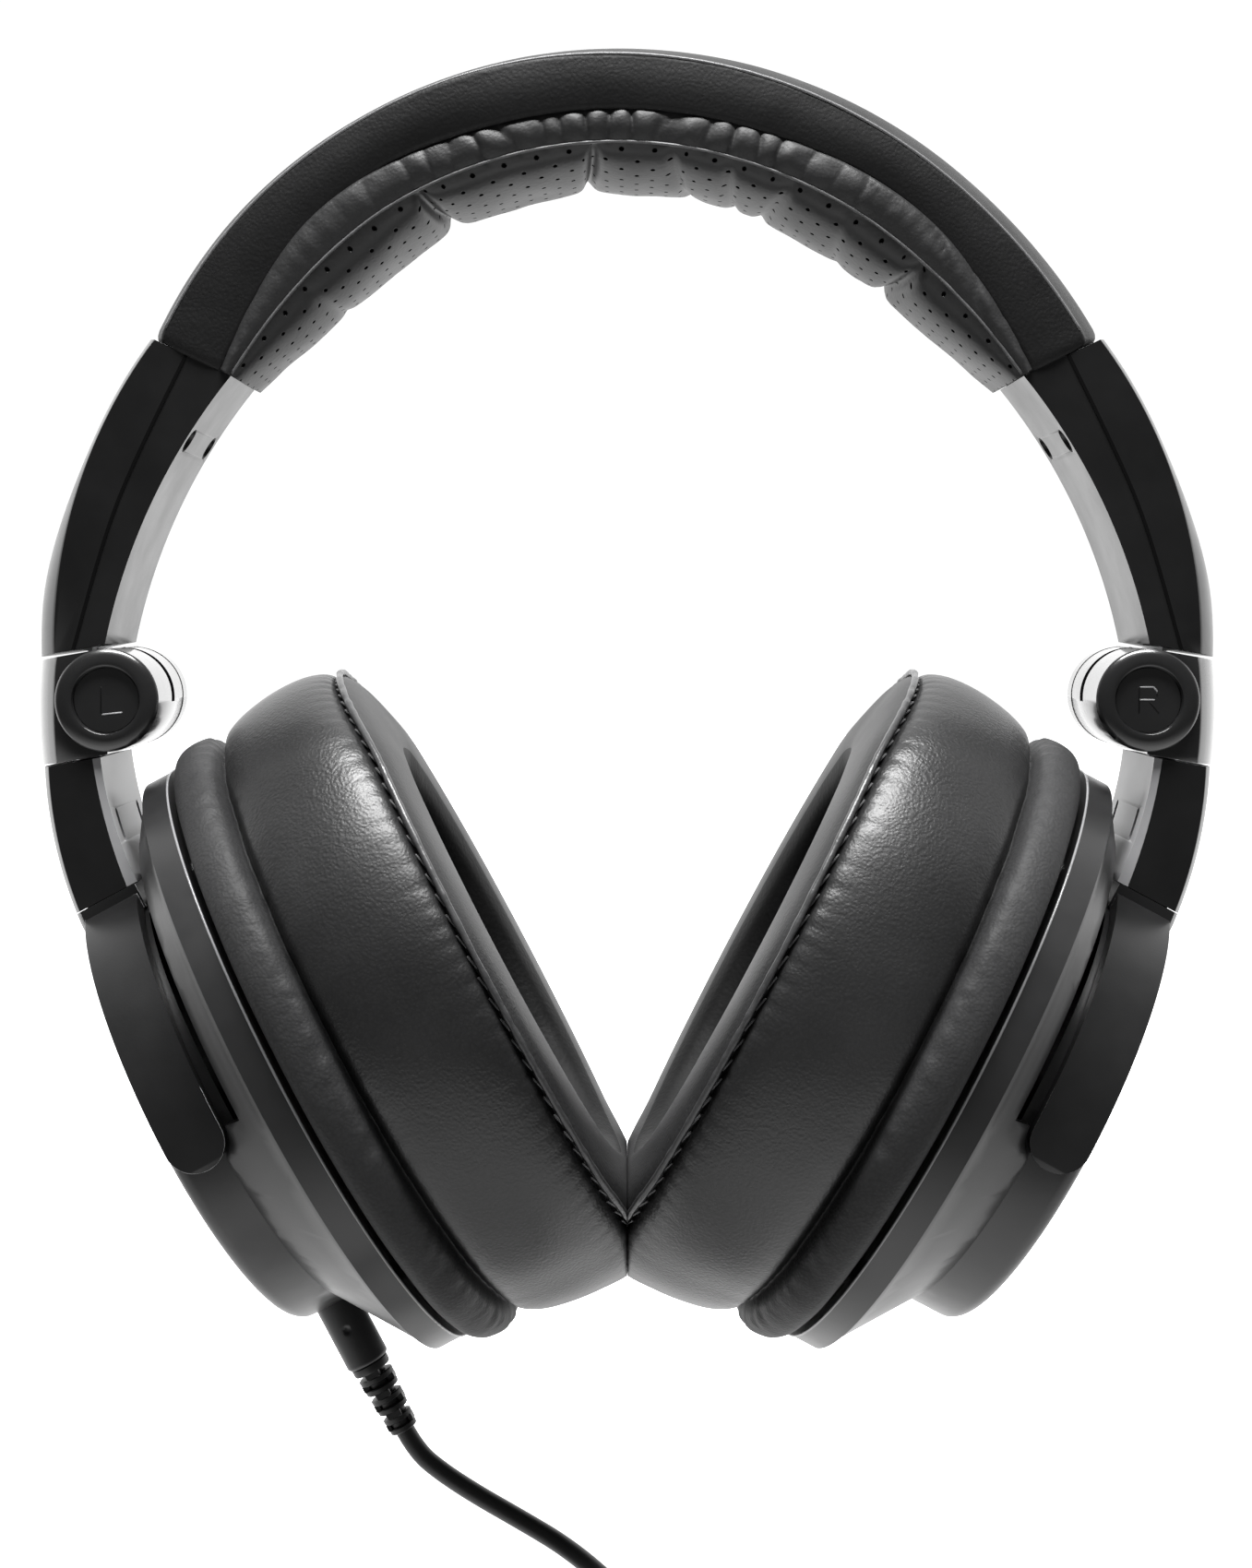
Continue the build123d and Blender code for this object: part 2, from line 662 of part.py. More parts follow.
def make_cup_housing():
    """The back shell: a barrel, then a cone out to the oval flange."""
    front = FLANGE_FRONT_W
    barrel_front = 1.6
    with BuildPart() as cup_housing:
        with BuildSketch(CUP.offset(SHELL_BACK_W)):
            add(barrel_sketch())
        extrude(amount=barrel_front - SHELL_BACK_W)
        fillet(cup_housing.faces().sort_by(Axis(PIVOT, CUP.z_dir))[0].edges(), radius=2.2)
        add(ovals([(0.8, 35.0, 1.0), (9.0, 47.2, 0.887), (FLANGE_BACK_W, FLANGE_RU, OVAL)]))
        with BuildSketch(CUP.offset(FLANGE_BACK_W)):
            Ellipse(FLANGE_RU, FLANGE_RU * OVAL)
        extrude(amount=front - FLANGE_BACK_W)
        with BuildSketch(CUP.offset(SHELL_BACK_W + SHELL_WALL)):
            add(barrel_sketch(SHELL_WALL))
        extrude(amount=barrel_front - SHELL_BACK_W - SHELL_WALL, mode=Mode.SUBTRACT)
        add(
            ovals([(1.6, 31.8, 1.0), (8.0, 42.8, 0.89), (BAFFLE_W, FLANGE_RU - SHELL_WALL, OVAL)]),
            mode=Mode.SUBTRACT,
        )
        with BuildSketch(CUP.offset(BAFFLE_W)):
            Ellipse(FLANGE_RU - SHELL_WALL, (FLANGE_RU - SHELL_WALL) * OVAL)
        extrude(amount=front, mode=Mode.SUBTRACT)
        add(yoke_recess(), mode=Mode.SUBTRACT)
        for side in (1, -1):
            with BuildSketch(tilt_plane(side).offset(27.5)):
                Circle(4.0)
            extrude(amount=5.0)
            with BuildSketch(tilt_plane(side).offset(26)):
                Circle(PIVOT_R + HINGE_GAP)
            extrude(amount=15, mode=Mode.SUBTRACT)
        with BuildSketch(jack_plane(-40)):
            Circle(PLUG_R + 0.1)
        extrude(amount=10, mode=Mode.SUBTRACT)
    save_pair_with_jack(cup_housing)


def yoke_recess():
    """The space outside the barrel where the yoke's bow and tips swing, and the stem's foot."""
    behind = YOKE_HALF_WIDTH + 0.6
    ahead = RECESS_FRONT_W - TILT_W
    with BuildPart(mode=Mode.PRIVATE) as swing:
        with BuildSketch(tilt_plane()):
            Circle(behind)
            with Locations((30, (behind - ahead) / 2)):
                Rectangle(60, behind + ahead)
        extrude(amount=60, both=True)
    with BuildPart(mode=Mode.PRIVATE) as core:
        with BuildSketch(CUP.offset(-20)):
            Circle(BARREL_SHELL_R + 0.3)
        extrude(amount=60)
    return swing.part - core.part


def jack_plane(u):
    """A plane square to the jack's axis, at a height u in the cup's frame, facing up the cup."""
    origin = CUP.from_local_coords(Vector(u, 0, JACK_W))
    return Plane(origin=origin, x_dir=(0, 1, 0), z_dir=CUP.x_dir)


def save_pair_with_jack(cup_housing):
    """The left housing has the jack's hole, and the right one is closed there."""
    save(cup_housing, "cup_housing_l")
    with BuildPart() as plug:
        with BuildSketch(jack_plane(-36)):
            Circle(PLUG_R + 0.1)
        extrude(amount=10)
        with BuildSketch(CUP.offset(SHELL_BACK_W)):
            add(barrel_sketch())
            add(barrel_sketch(SHELL_WALL), mode=Mode.SUBTRACT)
        extrude(amount=20, mode=Mode.INTERSECT)
    with BuildPart() as right:
        mirror(cup_housing.part, about=Plane.YZ)
        mirror(plug.part, about=Plane.YZ)
    save(right, "cup_housing_r")


def make_cup_plate():
    """The slightly domed disc that closes the barrel's back."""
    with BuildPart() as cup_plate:
        with BuildSketch(CUP.offset(SHELL_BACK_W)):
            Circle(PLATE_R)
        extrude(amount=-1.0)
        fillet(cup_plate.faces().sort_by(Axis(PIVOT, CUP.z_dir))[0].edges(), radius=0.7)
    save_pair(cup_plate, "cup_plate")


def make_baffle():
    """The plate that carries the driver and the ear pad, with vents round the driver."""
    ru = FLANGE_RU - SHELL_WALL - 0.1
    with BuildPart() as baffle:
        with BuildSketch(CUP.offset(BAFFLE_W)):
            Ellipse(ru, ru * OVAL)
            Circle(DRIVER_R, mode=Mode.SUBTRACT)
            with PolarLocations(26, 8, start_angle=22.5):
                SlotOverall(8, 3, rotation=90, mode=Mode.SUBTRACT)
            with Locations(*screw_places()):
                Circle(1.5, mode=Mode.SUBTRACT)
        extrude(amount=BAFFLE_THICK)
    save_pair(baffle, "baffle")


def screw_places():
    """Where the four baffle screws sit, in the cup's frame."""
    return [(33 * su, 20 * sv) for su in (1, -1) for sv in (1, -1)]


def make_baffle_screws():
    with BuildPart() as baffle_screws:
        with BuildSketch(CUP.offset(BAFFLE_W + BAFFLE_THICK)):
            with Locations(*screw_places()):
                Circle(2.4)
        extrude(amount=1.2)
        with BuildSketch(CUP.offset(BAFFLE_W + BAFFLE_THICK)):
            with Locations(*screw_places()):
                Circle(1.45)
        extrude(amount=-6)
        with BuildSketch(CUP.offset(BAFFLE_W + BAFFLE_THICK + 0.5)):
            with Locations(*screw_places()):
                Rectangle(2.6, 0.6)
                Rectangle(0.6, 2.6)
        extrude(amount=2, mode=Mode.SUBTRACT)
    save_pair(baffle_screws, "baffle_screws")


def make_driver():
    """Frame, magnet and diaphragm of the 40 mm driver."""
    with BuildPart() as driver_frame:
        with BuildSketch(CUP.offset(3.0)):
            Circle(DRIVER_R - 0.1)
            Circle(9.0, mode=Mode.SUBTRACT)
        extrude(amount=BAFFLE_W + BAFFLE_THICK - 3.0)
        with BuildSketch(CUP.offset(5.0)):
            Circle(DRIVER_R - 1.6)
        extrude(amount=10, mode=Mode.SUBTRACT)
        with BuildSketch(CUP):
            with PolarLocations(13.5, 6):
                Circle(2.2)
        extrude(amount=10, mode=Mode.SUBTRACT)
    save_pair(driver_frame, "driver_frame")
    with BuildPart() as driver_magnet:
        with BuildSketch(CUP.offset(0.0)):
            Circle(9.0)
        extrude(amount=8.0)
    save_pair(driver_magnet, "driver_magnet")
    with BuildPart() as diaphragm:
        with BuildSketch(CUP.offset(11.0)):
            Circle(DRIVER_R - 1.6)
        extrude(amount=0.6)
        with BuildSketch(CUP.offset(8.6)):
            Circle(7.0)
            Circle(6.2, mode=Mode.SUBTRACT)
        extrude(amount=2.5)
    save_pair(diaphragm, "diaphragm")


def make_ear_scrim():
    """The cloth disc stretched over the driver inside the ear pad."""
    with BuildPart() as ear_scrim:
        with BuildSketch(CUP.offset(BAFFLE_W + BAFFLE_THICK + 1.3)):
            Ellipse(EAR_HOLE[0] + 3, EAR_HOLE[1] + 3)
        extrude(amount=0.6)
    save_pair(ear_scrim, "ear_scrim")


def make_earpad():
    """Base roll, crease and foam body of the oval pad, open in the middle for the ear."""
    profile = [
        (PAD_BACK_W, 49.0),
        (17.0, 50.4),
        (22.0, 50.4),
        (24.6, 48.4),
        (28.0, 50.2),
        (34.0, 51.2),
        (37.5, 50.0),
        (40.5, 46.5),
        (42.6, 41.0),
    ]
    with BuildPart() as earpad:
        add(ovals([(w, radius, 0.908) for w, radius in profile]))
        with BuildSketch(CUP.offset(PAD_BACK_W)):
            Ellipse(EAR_HOLE[0], EAR_HOLE[1])
        extrude(amount=40, mode=Mode.SUBTRACT)
        with BuildSketch(CUP.offset(PAD_BACK_W)):
            Ellipse(EAR_HOLE[0] + 3.1, EAR_HOLE[1] + 3.1)
            with Locations(*screw_places()):
                Circle(2.6)
        extrude(amount=0.8, mode=Mode.SUBTRACT)
    save_pair(earpad, "earpad")


def make_jack_socket():
    """The socket inside the left cup that holds the cable's plug."""
    with BuildPart() as jack_socket:
        with BuildSketch(jack_plane(-31.4)):
            Circle(SOCKET_R)
        extrude(amount=15.5)
        with BuildSketch(jack_plane(-31.4)):
            Circle(PLUG_PIN_R + HINGE_GAP)
        extrude(amount=14.6, mode=Mode.SUBTRACT)
    save(jack_socket, "jack_socket")


# ---- cable -----------------------------------------------------------------------------------


def make_plug():
    with BuildPart() as plug_pin:
        with BuildSketch(jack_plane(-32.0)):
            Circle(PLUG_PIN_R)
        extrude(amount=14.0)
    save(plug_pin, "plug_pin")
    with BuildPart() as plug_sleeve:
        with BuildSketch(jack_plane(-32.0)):
            Circle(PLUG_R)
        extrude(amount=PLUG_TIP_U + 32.0)
        chamfer(plug_sleeve.faces().sort_by(Axis(PIVOT, CUP.x_dir))[0].edges(), length=0.5)
    save(plug_sleeve, "plug_sleeve")


def relief(plane, length, big_r, small_r):
    """A tapered strain relief with three grooves, running along the plane's normal."""
    grooves = [0.24, 0.5, 0.76]
    with BuildPart(mode=Mode.PRIVATE) as body:
        with BuildSketch(plane):
            Circle(big_r)
        with BuildSketch(plane.offset(length)):
            Circle(small_r)
        loft()
        for share in grooves:
            with BuildSketch(plane.offset(share * length - 0.5)):
                Circle(big_r + 1)
                Circle(CORD_R + 0.35, mode=Mode.SUBTRACT)
            extrude(amount=1.0, mode=Mode.SUBTRACT)
    return body.part


def make_strain_relief():
    tip = jack_plane(PLUG_TIP_U)
    down = Plane(origin=tip.origin, x_dir=tip.x_dir, z_dir=-tip.z_dir)
    with BuildPart() as strain_relief:
        add(relief(down, PLUG_TIP_U - RELIEF_TIP_U, 2.7, 2.05))
    save(strain_relief, "strain_relief")


def cord_route():
    """The cord's corners from the strain relief, down to the floor and on to the coil."""
    start = CUP.from_local_coords(Vector(RELIEF_TIP_U, 0, JACK_W))
    rest = FLOOR_Z + CORD_R
    return [
        (start.X, 0.0, start.Z),
        (-32.6, 0.0, -195.2),
        (-28.8, 0.0, -198.4),
        (-23.3, -0.2, -201.9),
        (-16.7, -0.9, -205.4),
        (-9.4, -3.2, -208.9),
        (-2.8, -8.8, -212.3),
        (2.6, -16.4, -215.4),
        (6.4, -25.0, -218.0),
        (8.2, -33.4, rest),
    ]


def corner_radii(points, share=0.45):
    """The largest tangent arc at each corner: a share of the shorter run over tan(half the turn)."""
    radii = []
    for before, corner, after in zip(points, points[1:], points[2:]):
        come = Vector(*corner) - Vector(*before)
        go = Vector(*after) - Vector(*corner)
        half_turn = math.radians(come.get_angle(go)) / 2
        radii.append(share * min(come.length, go.length) / math.tan(half_turn))
    return radii


def make_cord_tube():
    points = cord_route()
    radii = corner_radii(points)
    with BuildPart() as cord_tube:
        with BuildLine() as path:
            FilletPolyline(*points, radius=radii)
        with BuildSketch(path.wire() ^ 0):
            Circle(CORD_R)
        sweep()
    length = path.wire().length
    print("cord tube", round(length, 1), "mm, radii", [round(r, 1) for r in radii])
    print("volume against section x length", round(cord_tube.part.volume / (math.pi * CORD_R**2 * length), 4))
    save(cord_tube, "cord_tube")


def make_coil():
    """The tied coil of spare cord that lies on the floor, as one ring."""
    floor = Plane.XY.offset(FLOOR_Z)
    inner, outer = COIL_MID_R - COIL_BUNDLE / 2, COIL_MID_R + COIL_BUNDLE / 2
    with BuildPart() as cord_coil:
        with BuildSketch(floor):
            with Locations(COIL_CENTRE):
                Circle(outer)
                Circle(inner, mode=Mode.SUBTRACT)
        extrude(amount=COIL_BUNDLE)
    save(cord_coil, "cord_coil")
    with BuildPart() as coil_tie:
        with BuildSketch(Plane.XZ.offset(-COIL_CENTRE[1] - 2.5)):
            with Locations((COIL_CENTRE[0] + COIL_MID_R, FLOOR_Z + COIL_BUNDLE / 2 + 0.5)):
                RectangleRounded(COIL_BUNDLE + 2.0, COIL_BUNDLE + 1.0, 1.5)
                Rectangle(COIL_BUNDLE, COIL_BUNDLE - 1.0, mode=Mode.SUBTRACT)
        extrude(amount=5)
    save(coil_tie, "coil_tie")


def make_source_plug():
    """The 3.5 mm plug at the cord's far end, lying beside the coil."""
    x, y, z = COIL_CENTRE[0] - 22.5, COIL_CENTRE[1] - COIL_MID_R - CORD_R * 2, FLOOR_Z + PLUG_R
    mouth = Plane(origin=(x, y, z), x_dir=(0, 1, 0), z_dir=(-1, 0, 0))
    with BuildPart() as source_relief:
        add(relief(Plane(origin=(x, y, z), x_dir=(0, 1, 0), z_dir=(1, 0, 0)), 10.5, 2.7, 2.05))
    save(source_relief, "source_relief")
    with BuildPart() as source_sleeve:
        with BuildSketch(mouth):
            Circle(PLUG_R)
        extrude(amount=17)
    save(source_sleeve, "source_sleeve")
    with BuildPart() as source_pin:
        with BuildSketch(mouth.offset(17)):
            Circle(PLUG_PIN_R)
        extrude(amount=14)
        chamfer(source_pin.faces().sort_by(Axis.X)[0].edges(), length=1.0)
    save(source_pin, "source_pin")


os.makedirs("parts", exist_ok=True)
make_headband_spring()
make_headband_cover()
make_headband_cushion()
make_arm_outer_shell()
make_arm_inner_shell()
make_arm_screws()
make_detent_spring()
make_slider_band()
make_hinge_block()
make_hinge_pin()
make_hinge_caps()
make_stem_cover()
make_stem_plate()
make_yoke()
make_swivel_pin()
make_pivot_pins()
make_cup_housing()
make_cup_plate()
make_baffle()
make_baffle_screws()
make_driver()
make_ear_scrim()
make_earpad()
make_jack_socket()
make_plug()
make_strain_relief()
make_cord_tube()
make_coil()
make_source_plug()
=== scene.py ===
import json
import math

import bmesh
import bpy
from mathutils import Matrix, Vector, noise


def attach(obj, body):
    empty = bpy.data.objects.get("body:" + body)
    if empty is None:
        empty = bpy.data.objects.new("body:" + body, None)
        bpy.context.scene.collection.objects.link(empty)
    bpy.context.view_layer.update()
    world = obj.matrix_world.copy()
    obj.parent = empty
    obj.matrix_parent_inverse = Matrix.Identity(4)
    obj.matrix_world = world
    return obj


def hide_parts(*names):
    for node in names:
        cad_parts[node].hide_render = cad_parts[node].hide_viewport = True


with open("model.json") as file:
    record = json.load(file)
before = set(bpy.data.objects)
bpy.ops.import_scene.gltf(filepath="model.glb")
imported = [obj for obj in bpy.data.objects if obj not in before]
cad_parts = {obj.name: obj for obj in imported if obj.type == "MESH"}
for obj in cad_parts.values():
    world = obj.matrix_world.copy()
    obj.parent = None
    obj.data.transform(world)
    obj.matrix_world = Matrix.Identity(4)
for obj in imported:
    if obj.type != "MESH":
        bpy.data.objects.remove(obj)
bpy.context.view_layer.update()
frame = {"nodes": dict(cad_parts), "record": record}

# Folding over-ear headphones. Lengths in this script are millimetres in the row frame until a mesh
# is made, and MM turns them into metres. The left side is built and mirrored in the plane x = 0.
MM = 0.001
SHARP = math.radians(28)
STRIP_SIDES = 8
scene = bpy.context.scene
scene.view_settings.view_transform = "Standard"
nodes = frame["nodes"]


# ---- camera ----

camera_data = bpy.data.cameras.new("camera")
camera_data.sensor_fit = "HORIZONTAL"
camera_data.sensor_width = 36.0
camera_data.lens = 77.07
camera_data.shift_y = -0.1363
camera = bpy.data.objects.new("camera", camera_data)
camera.location = (-0.0002, -0.415, -0.0655)
camera.rotation_euler = (math.radians(90), 0, 0)
scene.collection.objects.link(camera)
scene.camera = camera


# ---- mesh helpers ----


def new_object(name, data):
    obj = bpy.data.objects.new(name, data)
    scene.collection.objects.link(obj)
    return obj


def loft(name, rings, loop=False, cap=True, lengths=None):
    """A skin over rings of points. lengths = (distances along, distances around) gives UVs in mm."""
    count = len(rings[0])
    rows = len(rings)
    faces = []
    cells = []
    for i in range(rows if loop else rows - 1):
        j = (i + 1) % rows
        for k in range(count):
            m = (k + 1) % count
            faces.append((i * count + k, i * count + m, j * count + m, j * count + k))
            cells.append((i, k))
    if cap and not loop:
        faces.append(tuple(reversed(range(count))))
        faces.append(tuple(range((rows - 1) * count, rows * count)))
    mesh = bpy.data.meshes.new(name)
    mesh.from_pydata([Vector(p) * MM for ring in rings for p in ring], [], faces)
    if lengths:
        along, across = lengths
        layer = mesh.uv_layers.new(name="UVMap")
        for face, (i, k) in zip(mesh.polygons, cells):
            corners = ((i, k), (i, k + 1), (i + 1, k + 1), (i + 1, k))
            for loop_index, (a, b) in zip(face.loop_indices, corners):
                layer.data[loop_index].uv = (along[a], across[b])
    work = bmesh.new()
    work.from_mesh(mesh)
    bmesh.ops.recalc_face_normals(work, faces=work.faces)
    work.to_mesh(mesh)
    work.free()
    mesh.shade_smooth()
    return new_object(name, mesh)


def baked(obj):
    """Applies every modifier."""
    depsgraph = bpy.context.evaluated_depsgraph_get()
    mesh = bpy.data.meshes.new_from_object(obj.evaluated_get(depsgraph))
    obj.modifiers.clear()
    obj.data = mesh
    return obj


def chamfered(obj, width, edge_slot=-1):
    """Cuts a narrow chamfer on every sharp edge, and keeps flat faces flat."""
    bevel = obj.modifiers.new("bevel", "BEVEL")
    bevel.width = width * MM
    bevel.segments = 1
    bevel.limit_method = "ANGLE"
    bevel.angle_limit = math.radians(30)
    bevel.material = edge_slot
    baked(obj)
    obj.data.set_sharp_from_angle(angle=SHARP)
    return obj


def circle(centre, side, other, radius, count):
    """Points round a centre, from the direction side towards the direction other."""
    turns = (2 * math.pi * k / count for k in range(count))
    return [centre + (side * math.cos(a) + other * math.sin(a)) * radius for a in turns]


def turned(name, origin, axis, profile, sides):
    """A turned shape: profile holds (distance along the axis, radius) from one end to the other."""
    origin, axis = Vector(origin), Vector(axis).normalized()
    side = axis.cross(Vector((0.0, 1.0, 0.0)))
    if side.length < 0.1:
        side = Vector((1.0, 0.0, 0.0))
    side.normalize()
    other = axis.cross(side)
    obj = loft(name, [circle(origin + axis * along, side, other, radius, sides) for along, radius in profile])
    obj.data.set_sharp_from_angle(angle=SHARP)
    return obj


def block(name, centre, axes, size):
    """A small block on three axes, with its edges broken by a chamfer."""
    a, b, c = (Vector(axis).normalized() * (length / 2) for axis, length in zip(axes, size))
    rings = []
    for along in (-1, 1):
        corners = ((-1, -1), (1, -1), (1, 1), (-1, 1))
        rings.append([Vector(centre) + a * along + b * p + c * q for p, q in corners])
    obj = loft(name, rings)
    return chamfered(obj, min(size) * 0.12)


def joined(name, parts):
    """One object out of several, with their materials."""
    mesh = bpy.data.meshes.new(name)
    work = bmesh.new()
    slots = []
    for part in parts:
        offset = []
        for material in part.data.materials:
            if material not in slots:
                slots.append(material)
            offset.append(slots.index(material))
        before = len(work.faces)
        work.from_mesh(part.data)
        work.faces.ensure_lookup_table()
        for face in work.faces[before:]:
            face.material_index = offset[face.material_index] if offset else 0
        bpy.data.objects.remove(part)
    work.to_mesh(mesh)
    work.free()
    for material in slots:
        mesh.materials.append(material)
    return new_object(name, mesh)


def mirrored(obj, name):
    mesh = obj.data.copy()
    mesh.name = name
    for vertex in mesh.vertices:
        vertex.co.x = -vertex.co.x
    mesh.flip_normals()
    return new_object(name, mesh)


def place(obj, body, slot, *replaced, material=None):
    if material:
        obj.data.materials.clear()
        obj.data.materials.append(material)
    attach(obj, body)
    if replaced:
        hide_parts(*replaced)
    return obj


def pair(left, base, body, slot, *replaced, material=None):
    """Places a left piece and its mirror image. Replaced nodes are named without their side."""
    right = mirrored(left, base + "_right")
    left.name = base + "_left"
    for obj, side in ((left, "left"), (right, "right")):
        gone = [f"{node}_{side[0]}" for node in replaced]
        place(obj, body if body == "headband" else f"{body}_{side}", slot, *gone, material=material)
    return left, right


def spline(points, count):
    """A Catmull-Rom curve through points of any dimension, with count samples."""
    out = []
    last = len(points) - 1
    for n in range(count):
        t = n * last / (count - 1)
        i = min(int(t), last - 1)
        f = t - i
        sample = []
        for a, b, c, d in zip(points[max(i - 1, 0)], points[i], points[i + 1], points[min(i + 2, last)]):
            square, cube = 2 * a - 5 * b + 4 * c - d, 3 * b - a - 3 * c + d
            sample.append(0.5 * (2 * b + (c - a) * f + square * f * f + cube * f ** 3))
        out.append(tuple(sample))
    return out


def distances(points):
    total = [0.0]
    for a, b in zip(points, points[1:]):
        total.append(total[-1] + (Vector(b) - Vector(a)).length)
    return total


def smoothstep(low, high, value):
    t = min(max((value - low) / (high - low), 0.0), 1.0)
    return t * t * (3 - 2 * t)


# ---- materials ----


class Shader:
    """A node material built by short calls."""

    def __init__(self, name):
        self.material = bpy.data.materials.new(name)
        self.material.use_nodes = True
        self.tree = self.material.node_tree
        self.bsdf = self.tree.nodes["Principled BSDF"]
        self.coords = self.tree.nodes.new("ShaderNodeTexCoord").outputs["Object"]

    def link(self, source, target):
        self.tree.links.new(source, target)

    def set(self, **values):
        for key, value in values.items():
            self.bsdf.inputs[key.replace("_", " ")].default_value = value

    def noise(self, scale, detail=3.0, rough=0.5, coords=None):
        node = self.tree.nodes.new("ShaderNodeTexNoise")
        node.inputs["Scale"].default_value = scale
        node.inputs["Detail"].default_value = detail
        node.inputs["Roughness"].default_value = rough
        self.link(coords or self.coords, node.inputs["Vector"])
        return node.outputs["Fac"]

    def cells(self, scale, coords):
        node = self.tree.nodes.new("ShaderNodeTexVoronoi")
        node.feature = "SMOOTH_F1"
        node.inputs["Scale"].default_value = scale
        self.link(coords, node.inputs["Vector"])
        return node.outputs["Distance"]

    def warped(self, scale, amount):
        """The object's coordinates pushed about by noise."""
        node = self.tree.nodes.new("ShaderNodeTexNoise")
        node.inputs["Scale"].default_value = scale
        self.link(self.coords, node.inputs["Vector"])
        add = self.tree.nodes.new("ShaderNodeVectorMath")
        add.operation = "MULTIPLY_ADD"
        add.inputs[1].default_value = (amount, amount, amount)
        self.link(node.outputs["Color"], add.inputs[0])
        self.link(self.coords, add.inputs[2])
        return add.outputs["Vector"]

    def math(self, operation, a, b=0.0, c=0.0):
        node = self.tree.nodes.new("ShaderNodeMath")
        node.operation = operation
        for index, value in enumerate((a, b, c)):
            if isinstance(value, (int, float)):
                node.inputs[index].default_value = value
            else:
                self.link(value, node.inputs[index])
        return node.outputs["Value"]

    def range(self, value, low, high, to_low, to_high):
        node = self.tree.nodes.new("ShaderNodeMapRange")
        for key, number in zip(("From Min", "From Max", "To Min", "To Max"), (low, high, to_low, to_high)):
            node.inputs[key].default_value = number
        self.link(value, node.inputs["Value"])
        return node.outputs["Result"]

    def mix(self, factor, dark, light):
        node = self.tree.nodes.new("ShaderNodeMix")
        node.data_type = "RGBA"
        self.link(factor, node.inputs["Factor"])
        node.inputs[6].default_value = (*dark, 1)
        node.inputs[7].default_value = (*light, 1)
        return node.outputs[2]

    def bump(self, height, distance, strength=1.0, normal=None):
        node = self.tree.nodes.new("ShaderNodeBump")
        node.inputs["Distance"].default_value = distance
        node.inputs["Strength"].default_value = strength
        self.link(height, node.inputs["Height"])
        if normal is not None:
            self.link(normal, node.inputs["Normal"])
        return node.outputs["Normal"]

    def done(self, color=None, roughness=None, normal=None):
        if color is not None:
            self.link(color, self.bsdf.inputs["Base Color"])
        if roughness is not None:
            self.link(roughness, self.bsdf.inputs["Roughness"])
        if normal is not None:
            self.link(normal, self.bsdf.inputs["Normal"])
        return self.material


def grey(value):
    """A grey with a trace of blue."""
    return (value, value, value * 1.02)


def leather(name, base, cell, depth, rough, crease=0.0, shine=0.5):
    """Grained leatherette: warped cells with darker valleys, and slow changes of sheen."""
    s = Shader(name)
    s.set(Specular_IOR_Level=shine)
    warped = s.warped(260, 0.0012)
    grain = s.cells(1 / (cell * MM), warped)
    fine = s.noise(3.2 / (cell * MM), 2.0, 0.6, warped)
    slow = s.noise(45, 3.0)
    height = s.math("MULTIPLY_ADD", fine, 0.35, grain)
    normal = s.bump(height, depth * MM, 1.0)
    if crease:
        folds = s.noise(190, 4.0, 0.65, s.warped(60, 0.01))
        normal = s.bump(folds, crease * MM, 1.0, normal)
    tone = s.math("MULTIPLY_ADD", grain, -0.5, slow)
    color = s.mix(s.range(tone, -0.1, 0.6, 0.0, 1.0), grey(base * 0.7), grey(base * 1.35))
    roughness = s.range(slow, 0.3, 0.7, rough - 0.06, rough + 0.06)
    return s.done(color, roughness, normal)


def plastic(name, base, rough, texture=0.01, pitch=0.25, coat=0.0, shine=0.5):
    """Moulded plastic or paint with a fine texture and slight handling marks."""
    s = Shader(name)
    fine = s.noise(1 / (pitch * MM), 2.0, 0.6)
    slow = s.noise(60, 4.0, 0.6)
    normal = s.bump(fine, texture * MM, 1.0)
    color = s.mix(s.range(slow, 0.3, 0.7, 0.0, 1.0), grey(base * 0.85), grey(base * 1.15))
    roughness = s.range(slow, 0.3, 0.7, rough - 0.04, rough + 0.05)
    s.set(Coat_Weight=coat, Coat_Roughness=0.15, Specular_IOR_Level=shine)
    return s.done(color, roughness, normal)


def metal(name, base, rough, brushed=0.3):
    """Bare metal with fine scratches and slow changes of polish."""
    s = Shader(name)
    slow = s.noise(90, 4.0, 0.6)
    lines = s.noise(2500, 2.0, 0.5)
    s.set(Metallic=1.0)
    color = s.mix(s.range(slow, 0.3, 0.7, 0.0, 1.0), [c * 0.9 for c in base], base)
    roughness = s.range(slow, 0.3, 0.7, rough * 0.8, rough * 1.25)
    return s.done(color, roughness, s.bump(lines, 0.004 * MM, brushed))


